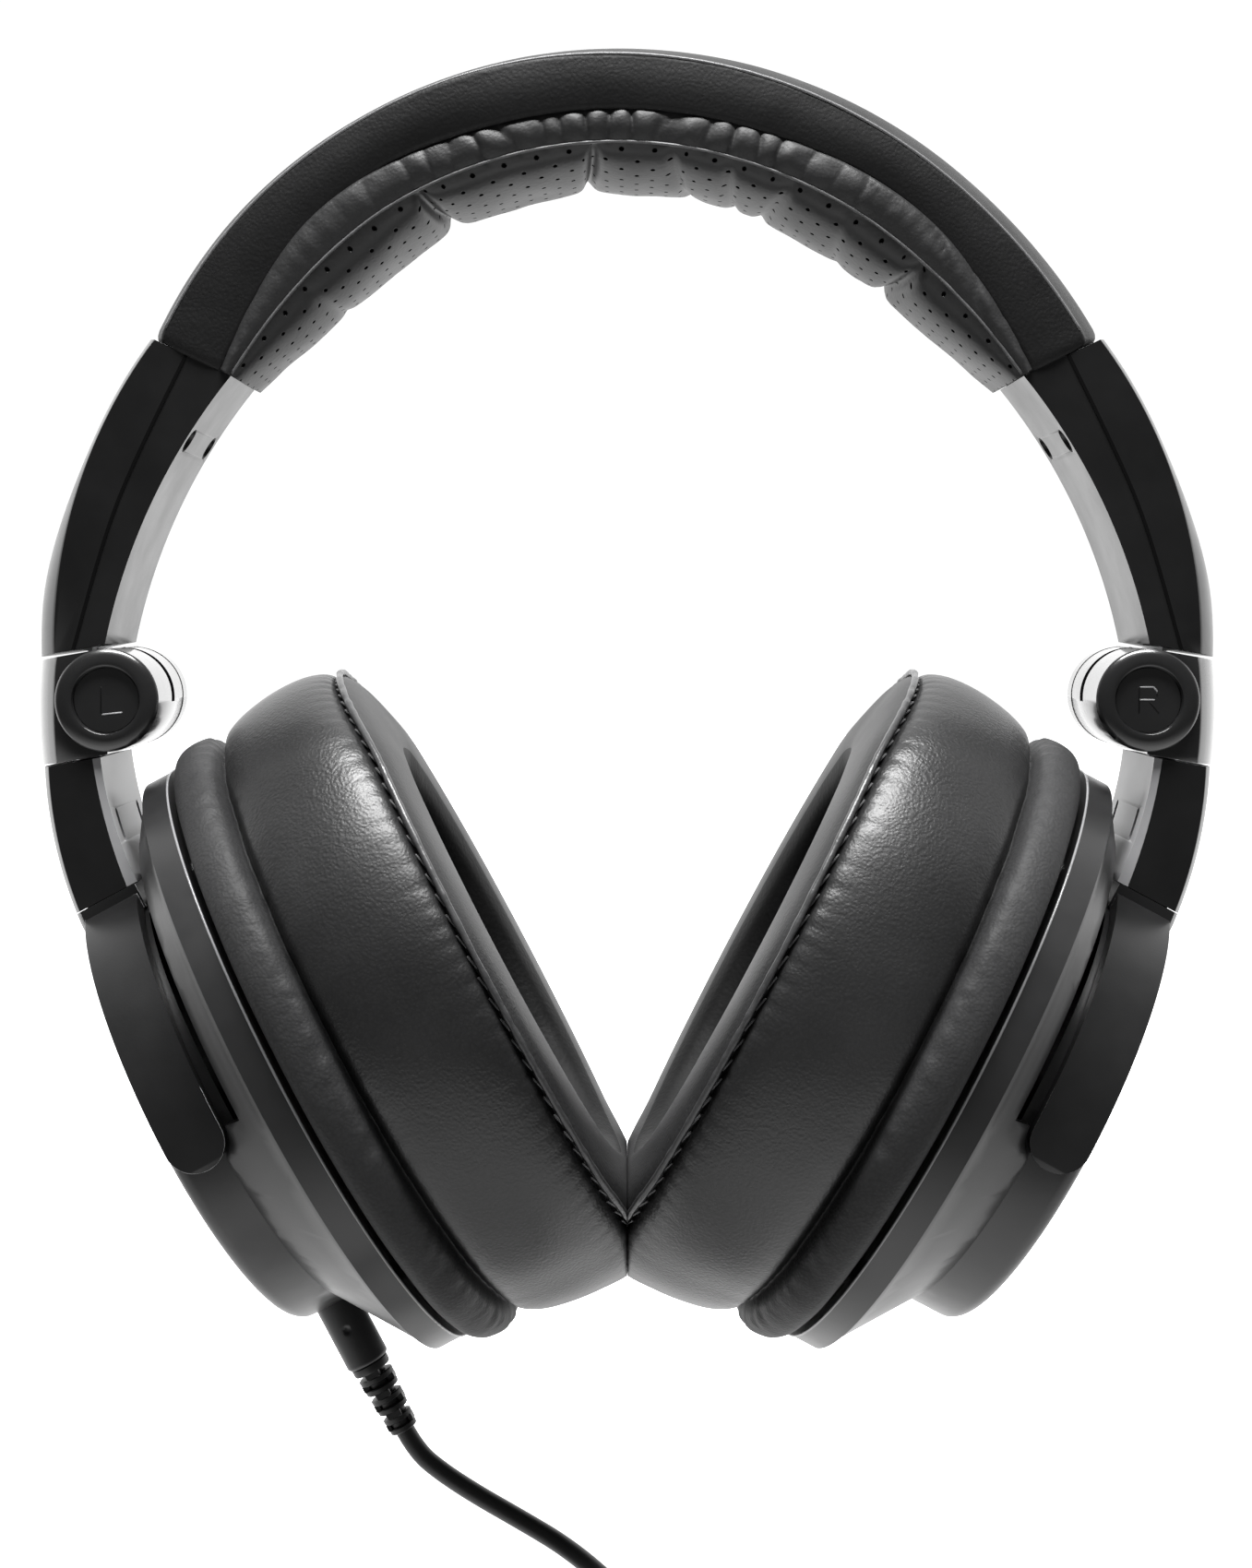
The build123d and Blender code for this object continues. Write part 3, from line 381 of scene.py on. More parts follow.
def perforated(name, base):
    """Leatherette with small punched holes in staggered rows, laid out by its UVs in mm; the holes are
    coloured near black as painted shade.
    """
    s = Shader(name)
    uv = s.tree.nodes.new("ShaderNodeUVMap")
    split = s.tree.nodes.new("ShaderNodeSeparateXYZ")
    s.link(uv.outputs["UV"], split.inputs[0])
    pitch = 4.6
    nearest = None
    for shift in (0.0, 0.5):
        u = s.math("FRACT", s.math("MULTIPLY_ADD", split.outputs["X"], 1 / pitch, shift))
        v = s.math("FRACT", s.math("MULTIPLY_ADD", split.outputs["Y"], 1 / pitch, shift))
        du = s.math("SUBTRACT", u, 0.5)
        dv = s.math("SUBTRACT", v, 0.5)
        squared = s.math("ADD", s.math("MULTIPLY", du, du), s.math("MULTIPLY", dv, dv))
        distance = s.math("SQRT", squared)
        nearest = distance if nearest is None else s.math("MINIMUM", nearest, distance)
    skin = s.range(nearest, 0.06, 0.085, 0.0, 1.0)
    grain = s.cells(1500, s.warped(260, 0.0012))
    normal = s.bump(grain, 0.03 * MM, 1.0)
    normal = s.bump(skin, 0.35 * MM, 1.0, normal)
    slow = s.noise(45, 3.0)
    # the near-black in the holes is painted shade
    color = s.mix(skin, grey(0.001), grey(base))
    s.link(s.math("MULTIPLY", skin, 0.5), s.bsdf.inputs["Specular IOR Level"])
    return s.done(color, s.range(slow, 0.3, 0.7, 0.42, 0.54), normal)


def weave(name, base, pitch):
    """Thin cloth of crossing threads."""
    s = Shader(name)
    split = s.tree.nodes.new("ShaderNodeSeparateXYZ")
    s.link(s.coords, split.inputs[0])
    across = s.math("SINE", s.math("MULTIPLY", split.outputs["Y"], 2 * math.pi / (pitch * MM)))
    along = s.math("SINE", s.math("MULTIPLY", split.outputs["Z"], 2 * math.pi / (pitch * MM)))
    threads = s.math("MAXIMUM", s.math("ABSOLUTE", across), s.math("ABSOLUTE", along))
    color = s.mix(threads, grey(base * 0.25), grey(base * 1.4))
    s.set(Sheen_Weight=0.2)
    s.bsdf.inputs["Roughness"].default_value = 0.85
    return s.done(color, None, s.bump(threads, 0.08 * MM, 0.8))


band_leather = leather("band_leather", 0.006, 0.5, 0.05, 0.52, shine=0.2)
# lighter leather of the cover's seams: a painted highlight
seam_highlight_leather = leather("seam_highlight_leather", 0.10, 0.5, 0.03, 0.35)
cushion_leather = leather("cushion_leather", 0.014, 0.5, 0.04, 0.50, crease=0.05, shine=0.4)
cushion_holes = perforated("cushion_perforated", 0.012)
# lighter leather of the cushion's piping: a painted highlight
piping_highlight_leather = leather("piping_highlight_leather", 0.08, 0.4, 0.02, 0.42)
pad_leather = leather("pad_leather", 0.013, 0.45, 0.055, 0.40, crease=0.012)
# the lighter leather of the roll and the face is painted light; the darker one of the ear hole's wall is
# painted shade
roll_lit_leather = leather("roll_lit_leather", 0.024, 0.45, 0.06, 0.58, crease=0.03, shine=0.2)
face_lit_leather = leather("face_lit_leather", 0.018, 0.45, 0.05, 0.52, shine=0.33)
wall_shaded_leather = leather("wall_shaded_leather", 0.006, 0.62, 0.05, 0.60, shine=0.15)
# lighter leather of the pad's welt: a painted highlight
welt_highlight_leather = leather("welt_highlight_leather", 0.04, 0.5, 0.03, 0.34)
black_plastic = plastic("black_plastic", 0.007, 0.32, 0.004, shine=0.4)
# lighter chamfers of the arms, hinge block and stem cover: a painted highlight
chamfer_highlight = plastic("chamfer_highlight", 0.30, 0.22, 0.002)
# lighter chamfers of the hinge caps: a painted highlight
cap_chamfer_highlight = plastic("cap_chamfer_highlight", 0.04, 0.22, 0.002)
# light grey of the rim bead: a painted highlight
rim_highlight = plastic("rim_highlight", 0.20, 0.25, 0.002)
grey_plastic = plastic("grey_plastic", 0.28, 0.32, 0.006)
satin_black = plastic("satin_black", 0.010, 0.36, 0.010, 0.35, shine=0.31)
# lighter chamfers of the yoke: a painted highlight
satin_chamfer_highlight = plastic("satin_chamfer_highlight", 0.50, 0.22, 0.002)
cup_plastic = plastic("cup_plastic", 0.015, 0.34, 0.008, 0.35, shine=0.6)
inner_plastic = plastic("inner_plastic", 0.02, 0.5, 0.015)
hinge_metal = plastic("hinge_metal", 0.010, 0.24, 0.004, 0.3, coat=0.6)
band_dark = plastic("band_dark", 0.002, 0.7, 0.004, shine=0.05)
cap_plastic = plastic("cap_plastic", 0.005, 0.34, 0.004, shine=0.18)
# lighter strokes of the cap letters: a painted highlight
mark_highlight = plastic("mark_highlight", 0.22, 0.35, 0.004)
plug_plastic = plastic("plug_plastic", 0.026, 0.42, 0.010)
cord_rubber = plastic("cord_rubber", 0.010, 0.45, 0.012, 0.4)
tie_rubber = plastic("tie_rubber", 0.013, 0.6, 0.015)
thread = plastic("thread", 0.08, 0.5, 0.02, 0.2)
scrim_fabric = weave("scrim_fabric", 0.02, 0.5)
spring_steel = metal("spring_steel", (0.56, 0.57, 0.58), 0.3, 0.6)
steel_bits = metal("steel_bits", (0.5, 0.5, 0.51), 0.3)
magnet_steel = metal("magnet_steel", (0.42, 0.42, 0.43), 0.25)
plug_metal = metal("plug_metal", (0.78, 0.77, 0.74), 0.12)
membrane = plastic("membrane", 0.35, 0.25, 0.02, 0.8)


# ---- cable ----

CORD_R = 1.5
COIL = Vector((-11.5, -42.0, 0.0))
LAYER_Z = (-219.0, -216.0, -213.0)
COIL_TURNS = 7.25
# degrees round a turn: where the first turn begins to change cell, and how long a change takes
CHANGE_START = 310
CHANGE_SPAN = 28
CHANGE_LEAD = 33
# the cells of the coil's bundle in the order that the turns fill them: (radius, layer)
COIL_CELLS = ((21, 0), (18, 0), (15, 0), (15, 1), (15, 2), (18, 2), (18, 1), (21, 1))
CORD_ROUTE = [
    (-34.5, 0.0, -191.75), (-32.6, 0.0, -195.2), (-28.8, 0.0, -198.4), (-23.3, -0.2, -201.9),
    (-16.7, -0.9, -205.4), (-9.4, -3.2, -208.9), (-2.8, -8.8, -212.3), (2.6, -16.4, -215.4),
    (6.4, -25.0, -218.0), (8.2, -33.4, -219.0),
]
CORD_END = [(-16.0, -63.0, -216.1), (-20.5, -63.0, -216.8), (-25.5, -63.0, -217.1)]


def coil_route():
    """Turns from the +x side round by -y; each changes cell CHANGE_LEAD degrees earlier."""
    per_turn = 24
    points = []
    for n in range(round(per_turn * COIL_TURNS) + 1):
        turn, step = divmod(n, per_turn)
        angle = step * 360 / per_turn
        start = CHANGE_START - CHANGE_LEAD * turn
        radius, layer = COIL_CELLS[turn]
        height = LAYER_Z[layer]
        if turn < len(COIL_CELLS) - 1:
            share = smoothstep(start, start + CHANGE_SPAN, angle)
            next_radius, next_layer = COIL_CELLS[turn + 1]
            radius += (next_radius - radius) * share
            height += (LAYER_Z[next_layer] - height) * share
        a = -math.radians(angle)
        points.append((COIL.x + radius * math.cos(a), COIL.y + radius * math.sin(a), height))
    return points


def make_cord():
    curve = bpy.data.curves.new("cord", "CURVE")
    curve.dimensions = "3D"
    curve.bevel_depth = CORD_R * MM
    curve.bevel_resolution = 5
    curve.resolution_u = 10
    curve.use_fill_caps = True
    points = CORD_ROUTE + coil_route() + CORD_END
    line = curve.splines.new("NURBS")
    line.points.add(len(points) - 1)
    for point, co in zip(line.points, points):
        point.co = (*(Vector(co) * MM), 1)
    line.order_u = 3
    line.use_endpoint_u = True
    cord = new_object("cord", curve)
    return place(cord, "cable", "cord_rubber", "cord_tube", "cord_coil", material=cord_rubber)


cord = make_cord()


# ---- ear cup frame ----

TILT = math.radians(28.0)
PIVOT = Vector((-59.6, 0.0, -139.4))
UP = Vector((-math.sin(TILT), 0.0, math.cos(TILT)))
TO_EAR = Vector((math.cos(TILT), 0.0, math.sin(TILT)))
FRONT = Vector((0.0, -1.0, 0.0))


def cup(u, v, w):
    """A point of the left cup: u up the cup, v to the front, w towards the ear."""
    return PIVOT + UP * u + FRONT * v + TO_EAR * w


def cup_oval(w, along_u, along_v, count):
    turns = (2 * math.pi * k / count for k in range(count))
    return [cup(along_u * math.cos(a), along_v * math.sin(a), w) for a in turns]


# ---- ear pads ----

# the pad's section from its back edge, over the outside, to the foot of the ear hole:
# (w, half length up and down, half width front to back)
PAD_SECTION = (
    (15.3, 45.0, 40.6), (15.3, 48.2, 43.6), (15.8, 49.7, 45.0), (17.1, 50.6, 45.8), (19.1, 50.8, 46.0),
    (20.9, 50.4, 45.7), (22.1, 49.4, 44.8), (22.9, 47.9, 43.4), (23.6, 48.3, 43.7), (24.8, 49.8, 45.1),
    (27.7, 51.0, 46.2), (32.0, 51.8, 46.9), (36.2, 52.1, 47.2), (39.9, 51.9, 47.0), (42.5, 51.2, 46.4),
    (44.0, 50.2, 45.5), (44.5, 49.5, 44.8), (45.1, 49.6, 44.9), (45.9, 48.8, 44.1), (46.7, 46.9, 42.1),
    (47.2, 43.6, 38.4), (47.4, 39.6, 33.6), (47.3, 36.4, 29.4), (46.7, 34.4, 26.4), (45.1, 32.7, 24.0),
    (41.1, 31.9, 23.0), (30.0, 31.6, 22.7), (22.0, 31.6, 22.7), (16.0, 31.6, 22.7),
)
SEAM_W = 44.6
CREASE_W = 22.9
STITCH_PITCH = 3.3
PAD_AROUND = 560
PAD_RING_COUNT = 118
PAD_RINGS = spline(PAD_SECTION, PAD_RING_COUNT)
PAD_MEAN_R = 50.0
HOLE_U = 35.5
FACE_W = 46.2


def pad_outward(angle, along_u, along_v):
    out = UP * (math.cos(angle) / along_u) + FRONT * (math.sin(angle) / along_v)
    return out.normalized()


def pad_gathers(arc, w):
    """Wrinkles that die away from the crease, and the puckers that the stitches pull in the seam."""
    drift = 0.8 * noise.noise(Vector((arc * 0.06, 2.2, 0.0)))
    wrinkle = noise.noise(Vector((arc * 0.42 + w * 0.25, 3.7, w * 0.12)))
    fine = noise.noise(Vector((arc * 0.95 - w * 0.3, 6.1, w * 0.2)))
    on_roll = math.exp(-abs(w - CREASE_W + 1.5) / 1.7)
    on_body = math.exp(-max(w - CREASE_W, 0.0) / 1.6) if w > CREASE_W else 0.0
    lift = (0.42 * wrinkle + 0.14 * fine) * on_roll + 0.2 * wrinkle * on_body
    phase = (arc / STITCH_PITCH + drift) % 1.0 - 0.5
    pull = math.exp(-(phase / 0.16) ** 2) * (0.75 + 0.5 * noise.noise(Vector((arc * 0.21, 8.8, 0.0))))
    soft = noise.noise(Vector((arc * 0.33, 9.1, w * 0.1)))
    lift += (0.22 * soft - 0.5 * pull) * math.exp(-max(SEAM_W - w, 0.0) / 1.5) * (w < SEAM_W + 0.3)
    lift += 0.10 * soft * (w >= SEAM_W + 0.3)
    return lift


def fuller_front(u, v, w):
    """How much deeper the pad is than its section: fuller in front, and lower at its ends."""
    ends = 1.4 * smoothstep(34.0, 50.0, u) + 0.3 * smoothstep(34.0, 50.0, -u)
    return (0.0245 * v - ends) * smoothstep(CREASE_W, SEAM_W, w)


def make_earpad():
    """The pad: a narrow base roll, a crease, and the deep body whose face is sewn on near its edge."""
    rings = []
    for w, along_u, along_v in PAD_RINGS:
        outside = w < FACE_W and along_u > 44
        groove = 0.75 * math.exp(-((w - SEAM_W) / 0.42) ** 2) + 0.9 * math.exp(-((w - CREASE_W) / 0.6) ** 2)
        ring = []
        for k in range(PAD_AROUND):
            a = 2 * math.pi * k / PAD_AROUND
            u, v = along_u * math.cos(a), along_v * math.sin(a)
            p = cup(u, v, w + fuller_front(u, v, w))
            out = pad_outward(a, along_u, along_v)
            here = Vector((math.cos(a) * 4.1, math.sin(a) * 4.1, w * 0.05))
            lift = 0.35 * noise.noise(here)
            if outside:
                lift += pad_gathers(a * PAD_MEAN_R, w) - groove
            ring.append(p + out * lift)
        rings.append(ring)
    return loft("earpad", rings, cap=False)


def press_together(obj):
    """The two pads lean on each other: each is flattened just short of the plane x = 0."""
    gap, soft = 0.004, 0.12
    for vertex in obj.data.vertices:
        x = vertex.co.x / MM
        x += 0.5 * smoothstep(-4.0, -0.3, x)
        if x > -soft - gap:
            x = -gap - soft * math.exp((-gap - soft - x) / soft)
        vertex.co.x = x * MM
    return obj


def capsule(start, end, radius, sides):
    """The rings of a short round-ended bar."""
    start, end = Vector(start), Vector(end)
    axis = (end - start).normalized()
    side = axis.cross(Vector((0.31, 0.83, 0.47))).normalized()
    other = axis.cross(side)
    dome = ((-0.7, 0.35), (-0.3, 0.85), (0.0, 1.0))
    rings = [(start + axis * radius * offset, radius * size) for offset, size in dome]
    rings += [(end - axis * radius * offset, radius * size) for offset, size in reversed(dome)]
    return [circle(centre, side, other, size, sides) for centre, size in rings]


def bars(name, spans, radius, sides):
    """Many short round-ended bars in one mesh."""
    verts = []
    faces = []
    for start, end in spans:
        rings = capsule(start, end, radius, sides)
        base = len(verts)
        for ring in rings:
            verts += [p * MM for p in ring]
        for i in range(len(rings) - 1):
            for k in range(sides):
                m = (k + 1) % sides
                faces.append((base + i * sides + k, base + i * sides + m,
                              base + (i + 1) * sides + m, base + (i + 1) * sides + k))
        faces.append(tuple(base + k for k in reversed(range(sides))))
        faces.append(tuple(base + (len(rings) - 1) * sides + k for k in range(sides)))
    mesh = bpy.data.meshes.new(name)
    mesh.from_pydata(verts, [], faces)
    mesh.shade_smooth()
    return new_object(name, mesh)


def seam_point(a, along_u, along_v, ahead):
    """A point of the pad's seam at angle a, or a little ahead of it towards the ear."""
    u, v = along_u * math.cos(a), along_v * math.sin(a)
    return cup(u, v, SEAM_W + ahead + fuller_front(u, v, SEAM_W))


def make_pad_stitches():
    """The thread that shows in the seam, in short slanted stitches."""
    along_u, along_v = 49.35, 44.65
    count = round(2 * math.pi * PAD_MEAN_R / STITCH_PITCH)
    spans = []
    for k in range(count):
        a = 2 * math.pi * k / count
        b = a + 2 * math.pi / count * 0.6
        spans.append((seam_point(a, along_u, along_v, -0.2), seam_point(b, along_u, along_v, 0.25)))
    return bars("pad_stitches", spans, 0.2, sides=6)


def bead(name, line, along_u, along_v, thick):
    """A closed round strip along points that go round the cup; thick(p) is its radius at p."""
    rings = []
    for k, p in enumerate(line):
        out = pad_outward(2 * math.pi * k / len(line), along_u, along_v)
        rings.append(circle(p, out, TO_EAR, thick(p), STRIP_SIDES))
    return loft(name, rings, loop=True)


def make_pad_welt():
    """The thin rolled edge on the ear side of the seam, in a lighter leather that is a painted highlight."""
    count = 540
    line = []
    for k in range(count):
        a = 2 * math.pi * k / count
        swell = 0.16 * noise.noise(Vector((math.cos(a) * 19, math.sin(a) * 19, 0.0)))
        line.append(seam_point(a, 49.95 + swell, 45.25 + swell, 0.75))
    return bead("pad_welt", line, 49.6, 44.9, lambda p: 0.5 + 0.14 * noise.noise(p * 0.55))


def make_scrim():
    """The thin cloth over the driver, slightly domed."""
    rings = [cup_oval(15.35 - 0.25 * t, 31.4 * t, 22.5 * t, 96) for t in (1.0, 0.8, 0.6, 0.4, 0.2, 0.02)]
    scrim = loft("ear_scrim", rings, cap=False)
    solid = scrim.modifiers.new("solid", "SOLIDIFY")
    solid.thickness = 0.25 * MM
    solid.offset = -1
    return baked(scrim)


def set_pad_zones(pad):
    """The roll, the face and the wall of the ear hole have materials of their own: lighter copies of the
    pad's leather on the roll and the face, as painted light, and a darker one on the wall, as painted shade.
    """
    for material in (roll_lit_leather, face_lit_leather, wall_shaded_leather):
        pad.data.materials.append(material)
    for face in pad.data.polygons:
        w, along_u, _ = PAD_RINGS[face.index // PAD_AROUND]
        if along_u < HOLE_U:
            face.material_index = 3
        elif w > SEAM_W + 0.4:
            face.material_index = 2
        elif w < CREASE_W:
            face.material_index = 1


pads = pair(press_together(make_earpad()), "earpad", "cup", "pad_leather", "earpad", material=pad_leather)
for pad in pads:
    set_pad_zones(pad)
pair(press_together(make_pad_stitches()), "pad_stitches", "cup", "pad_leather", material=thread)
pair(press_together(make_pad_welt()), "pad_welt", "cup", "pad_leather", material=welt_highlight_leather)
scrims = pair(make_scrim(), "scrim", "cup", "scrim_fabric", "ear_scrim", material=scrim_fabric)


# ---- headband ----

PAD_CENTRE_Z = -60.4
PAD_EDGE_R = 78.55
PAD_INNER_Z = -56.9
PAD_INNER_R = 65.2
PAD_END_ANGLE = 64.6
PAD_END_Z = -57.9


def lean(p):
    """The band leans a little towards the left cup at its top."""
    return p - Vector((1.5 * smoothstep(-36.0, 4.0, p.z), 0.0, 0.0))


def reach(radius, centre_z, angle):
    """How far a circle about (0, centre_z) is from the meeting of the end planes, at an angle."""
    rise = centre_z - PAD_END_Z
    return rise * math.cos(angle) + math.sqrt(radius ** 2 - (rise * math.sin(angle)) ** 2)


def band_half_width(x):
    """Half the headband's width, narrower towards its ends."""
    return 17.0 - 3.5 * smoothstep(10.0, 76.0, abs(x))


def hem_rise(x):
    """How far the cover's lower edge is above the inner arc: most at the flanks."""
    return 1.35 + 1.5 * math.exp(-(((abs(x) - 38) / 13) ** 2))


# points of the cover's section where its front and back faces meet the crown
COVER_SEAMS = (8, 22)


def cover_section(angle, inset):
    """A closed ring across the upper pad, at an angle from the vertical."""
    direction = Vector((math.sin(angle), 0, math.cos(angle)))
    origin = Vector((0, 0, PAD_END_Z))
    side = math.tanh(angle * 3)
    outer = reach(81.5 + 0.4 * side, PAD_CENTRE_Z, angle)
    inner = reach(PAD_INNER_R, PAD_INNER_Z, angle)
    inner += hem_rise(inner * math.sin(angle))
    half = band_half_width(outer * math.sin(angle)) - inset * 0.5
    edge = reach(PAD_EDGE_R - 0.35 * side, PAD_CENTRE_Z, angle) - inset
    drop = outer - inset - edge
    corner = 1.1
    points = []
    # front side from the cushion up, slightly full
    for t in (0.0, 0.12, 0.3, 0.5, 0.7, 0.88, 1.0):
        r = inner + (edge - corner - inner) * t
        points.append((r, -(half + 0.5 * math.sin(math.pi * t) - 0.35)))
    for t in (0.25, 0.5, 0.75, 1.0):
        a = math.pi / 2 * t
        points.append((edge - corner + corner * math.sin(a), -(half - 0.35 - corner + corner * math.cos(a))))
    flat = half - 0.35 - corner
    for t in (-0.92, -0.8, -0.6, -0.4, -0.2, 0.0):
        points.append((edge + drop * (1 - t * t), flat * t))
    points += [(r, -y) for r, y in reversed(points[:-1])]
    # under, from back to front
    for t in (-0.8, -0.4, 0.0, 0.4, 0.8):
        points.append((inner, -t * (half - 0.5)))
    return [lean(origin + direction * r + Vector((0, y, 0))) for r, y in points]


def make_cover():
    """The crowned, leather-covered upper pad with rounded ends."""
    end = math.radians(PAD_END_ANGLE) + 0.004
    radius = 70
    rounding = ((0.0, 1.5), (0.15, 0.9), (0.5, 0.4), (1.0, 0.12), (1.7, 0.0))
    stations = [(-end + offset / radius, inset) for offset, inset in rounding]
    steps = 150
    low = -end + 2.2 / radius
    stations += [(low + (-2 * low) * n / steps, 0.0) for n in range(steps + 1)]
    stations += [(end - offset / radius, inset) for offset, inset in reversed(rounding)]
    rings = []
    for angle, inset in stations:
        ring = cover_section(angle, inset)
        for index, p in enumerate(ring):
            dent = 0.22 * noise.noise(p * 0.045) + 0.06 * noise.noise(p * 0.22)
            ring[index] = p + Vector((0, dent if p.y > 0 else -dent, 0))
        rings.append(ring)
    return loft("band_cover", rings)


def tube(name, line, radius):
    """A thin round strip along a line, whose thickness varies a little."""
    rings = []
    last = len(line) - 1
    for n, p in enumerate(line):
        ahead = (line[min(n + 1, last)] - line[max(n - 1, 0)]).normalized()
        out = ahead.cross(Vector((0, 1, 0))).normalized()
        thick = radius * (1 + 0.18 * noise.noise(p * 0.6))
        rings.append(circle(p, out, Vector((0, 1, 0)), thick, STRIP_SIDES))
    return loft(name, rings)


def make_cover_seams():
    """The fine raised seams where the crown meets the front and back faces, in a lighter leather that is a
    painted highlight.
    """
    end = math.radians(PAD_END_ANGLE) - 0.03
    parts = []
    steps = 90
    for index in COVER_SEAMS:
        line = [cover_section(end * (n / steps - 1), 0.0)[index] for n in range(2 * steps + 1)]
        parts.append(tube("seam", line, 0.24))
    return joined("cover_seams", parts)


# the cushion's pinched creases: (x, depth, slant)
CREASES = (
    (-26.4, 3.2, 0.10), (-3.6, 2.6, -0.05), (8.6, 1.5, 0.15), (16.2, 1.3, 0.1), (23.2, 1.4, -0.1),
    (40.8, 2.8, -0.1), (-44.0, 0.7, 0.1), (31.8, 0.6, 0.1),
)
CUSHION_HALF = 57.4
END_TURN = math.radians(23)
CUSHION_R = 55.06
FLANK_X = 36.0
FLANK_SLOPE = 0.817
SEAM_ROW = 8
MIDDLE_ROW = 17


def cushion_foot(x):
    """The cushion's underside: an arc in the middle and straight flanks."""
    if abs(x) < FLANK_X:
        return -CUSHION_R + math.sqrt(CUSHION_R ** 2 - x * x)
    return -CUSHION_R + math.sqrt(CUSHION_R ** 2 - FLANK_X ** 2) - FLANK_SLOPE * (abs(x) - FLANK_X)


def pinch(x, y):
    """How far the creases pull the underside up."""
    total = 0.0
    for place, depth, slant in CREASES:
        off = abs(x - place - slant * (y + 8))
        total += depth * (0.5 * math.exp(-(off / 0.8) ** 2) + 0.5 * math.exp(-off / 2.6))
    return total


def gathers(x, down):
    """Puckers of the side face, close together in the middle and slanted on the right."""
    middle = math.exp(-((x - 1) / 31) ** 4)
    right = smoothstep(22, 32, x) * (1 - smoothstep(50, 54, x))
    wander = 0.9 * noise.noise(Vector((x * 0.12, 1.3, 0.0)))
    wander += 0.25 * noise.noise(Vector((x * 0.3, 4.4, down * 1.6)))
    blob = math.sqrt(abs(math.sin(math.pi * (x / 3.5 + wander))))
    fold = math.sqrt(abs(math.sin(math.pi * ((x - 6 * down) / 6.2 + wander))))
    size = 0.75 + 0.5 * noise.noise(Vector((x * 0.2, 7.3, 0.0)))
    fine = noise.noise(Vector((x * 0.7, 5.1, down * 2.0)))
    return 1.25 * middle * size * (blob - 0.5) + 0.9 * right * size * (fold - 0.6) + 0.18 * fine


def cushion_ring(x):
    """The section of the cushion at x: down the front, across the underside and up the back."""
    half = band_half_width(x) - 0.9
    tilt = math.atan(min(abs(x) / 44.0, FLANK_SLOPE)) + END_TURN * smoothstep(49.0, CUSHION_HALF, abs(x))
    tilt = math.copysign(tilt, x)
    out = Vector((math.sin(tilt), 0, math.cos(tilt)))
    foot = Vector((x, 0, cushion_foot(x)))
    from_centre = foot - Vector((0, 0, PAD_INNER_Z))
    along = from_centre.dot(out)
    hem_r = PAD_INNER_R + hem_rise(x) + 0.4
    depth = math.sqrt(along ** 2 - from_centre.length_squared + hem_r ** 2) - along
    seam_share = 0.52 - 0.09 * (x / CUSHION_HALF) ** 2
    points = []
    for side in (-1, 1):
        rows = []
        for t in (0.0, 0.1, 0.22, 0.36, 0.5, 0.64, 0.78, 0.9, 1.0):
            swell = math.sin(math.pi * t)
            bulge = 0.7 * swell + gathers(x, t) * max(swell, 0.0) ** 0.45 * (1.0 - 0.25 * t)
            rows.append((side * (half + bulge - 0.35), depth * (1 - seam_share * t)))
        y_seam = half - 0.45
        for t in (0.1, 0.22, 0.36, 0.5, 0.65, 0.8, 0.9, 1.0):
            s = math.pi / 2 * t
            y = y_seam * math.cos(s * 0.98)
            drop = math.sin(s) ** 0.78
            lift = pinch(x, side * y) * math.sin(s) ** 0.4 * min(1.0, depth / 5)
            ripple = 0.3 * noise.noise(Vector((x * 0.22, y * 0.12 * side, 7.7)))
            height = depth * (1 - seam_share) * (1 - drop) + lift + ripple * math.sin(s)
            rows.append((side * y, height))
        points.append(rows)
    ring = points[0] + list(reversed(points[1]))[1:]
    return [lean(foot + out * height + Vector((0, y, 0))) for y, height in ring]


def make_cushion():
    """The crescent cushion: gathered sides, and a punched underside pinched across by creases."""
    steps = 520
    rings = []
    for n in range(steps + 1):
        x = CUSHION_HALF * (2 * n / steps - 1)
        rings.append(cushion_ring(x))
    middle = rings[steps // 2]
    cushion = loft("band_cushion", rings, lengths=(
        distances([ring[MIDDLE_ROW] for ring in rings]),
        distances(middle) + [distances(middle)[-1] + 30.0],
    ))
    cushion.data.materials.append(cushion_leather)
    cushion.data.materials.append(cushion_holes)
    count = len(middle)
    for face in cushion.data.polygons[: steps * count]:
        column = face.index % count
        face.material_index = 1 if SEAM_ROW <= column < count - SEAM_ROW - 2 else 0
    return cushion


def make_piping():
    """The thin welt on the seam between the cushion's sides and its underside, front and back, in a lighter
    leather that is a painted highlight.
    """
    parts = []
    steps = 260
    for row, side in ((SEAM_ROW, -1), (-SEAM_ROW - 1, 1)):
        line = []
        for n in range(steps + 1):
            x = CUSHION_HALF * (2 * n / steps - 1) * 0.995
            line.append(cushion_ring(x)[row] + Vector((0, side * 0.1, 0)))
        parts.append(tube("piping", line, 0.24))
    return joined("cushion_piping", parts)


cover = place(make_cover(), "headband", "band_leather", "headband_cover", material=band_leather)
place(make_cover_seams(), "headband", "band_leather", material=seam_highlight_leather)
cushion = place(make_cushion(), "headband", "cushion_leather", "headband_cushion")
place(make_piping(), "headband", "cushion_leather", material=piping_highlight_leather)


# ---- hard pieces ----


# ranges of the z of a chamfer's normal that get the edge material, a lighter colour that is a painted
# highlight
ALL_EDGES = (-1.1, 1.1)
TOP_EDGES = (0.35, 1.1)
SIDE_EDGES = (-1.1, 0.45)


def body_of(node):
    for body, members in frame["record"]["behaviour"]["bodies"].items():
        if node in members:
            return body


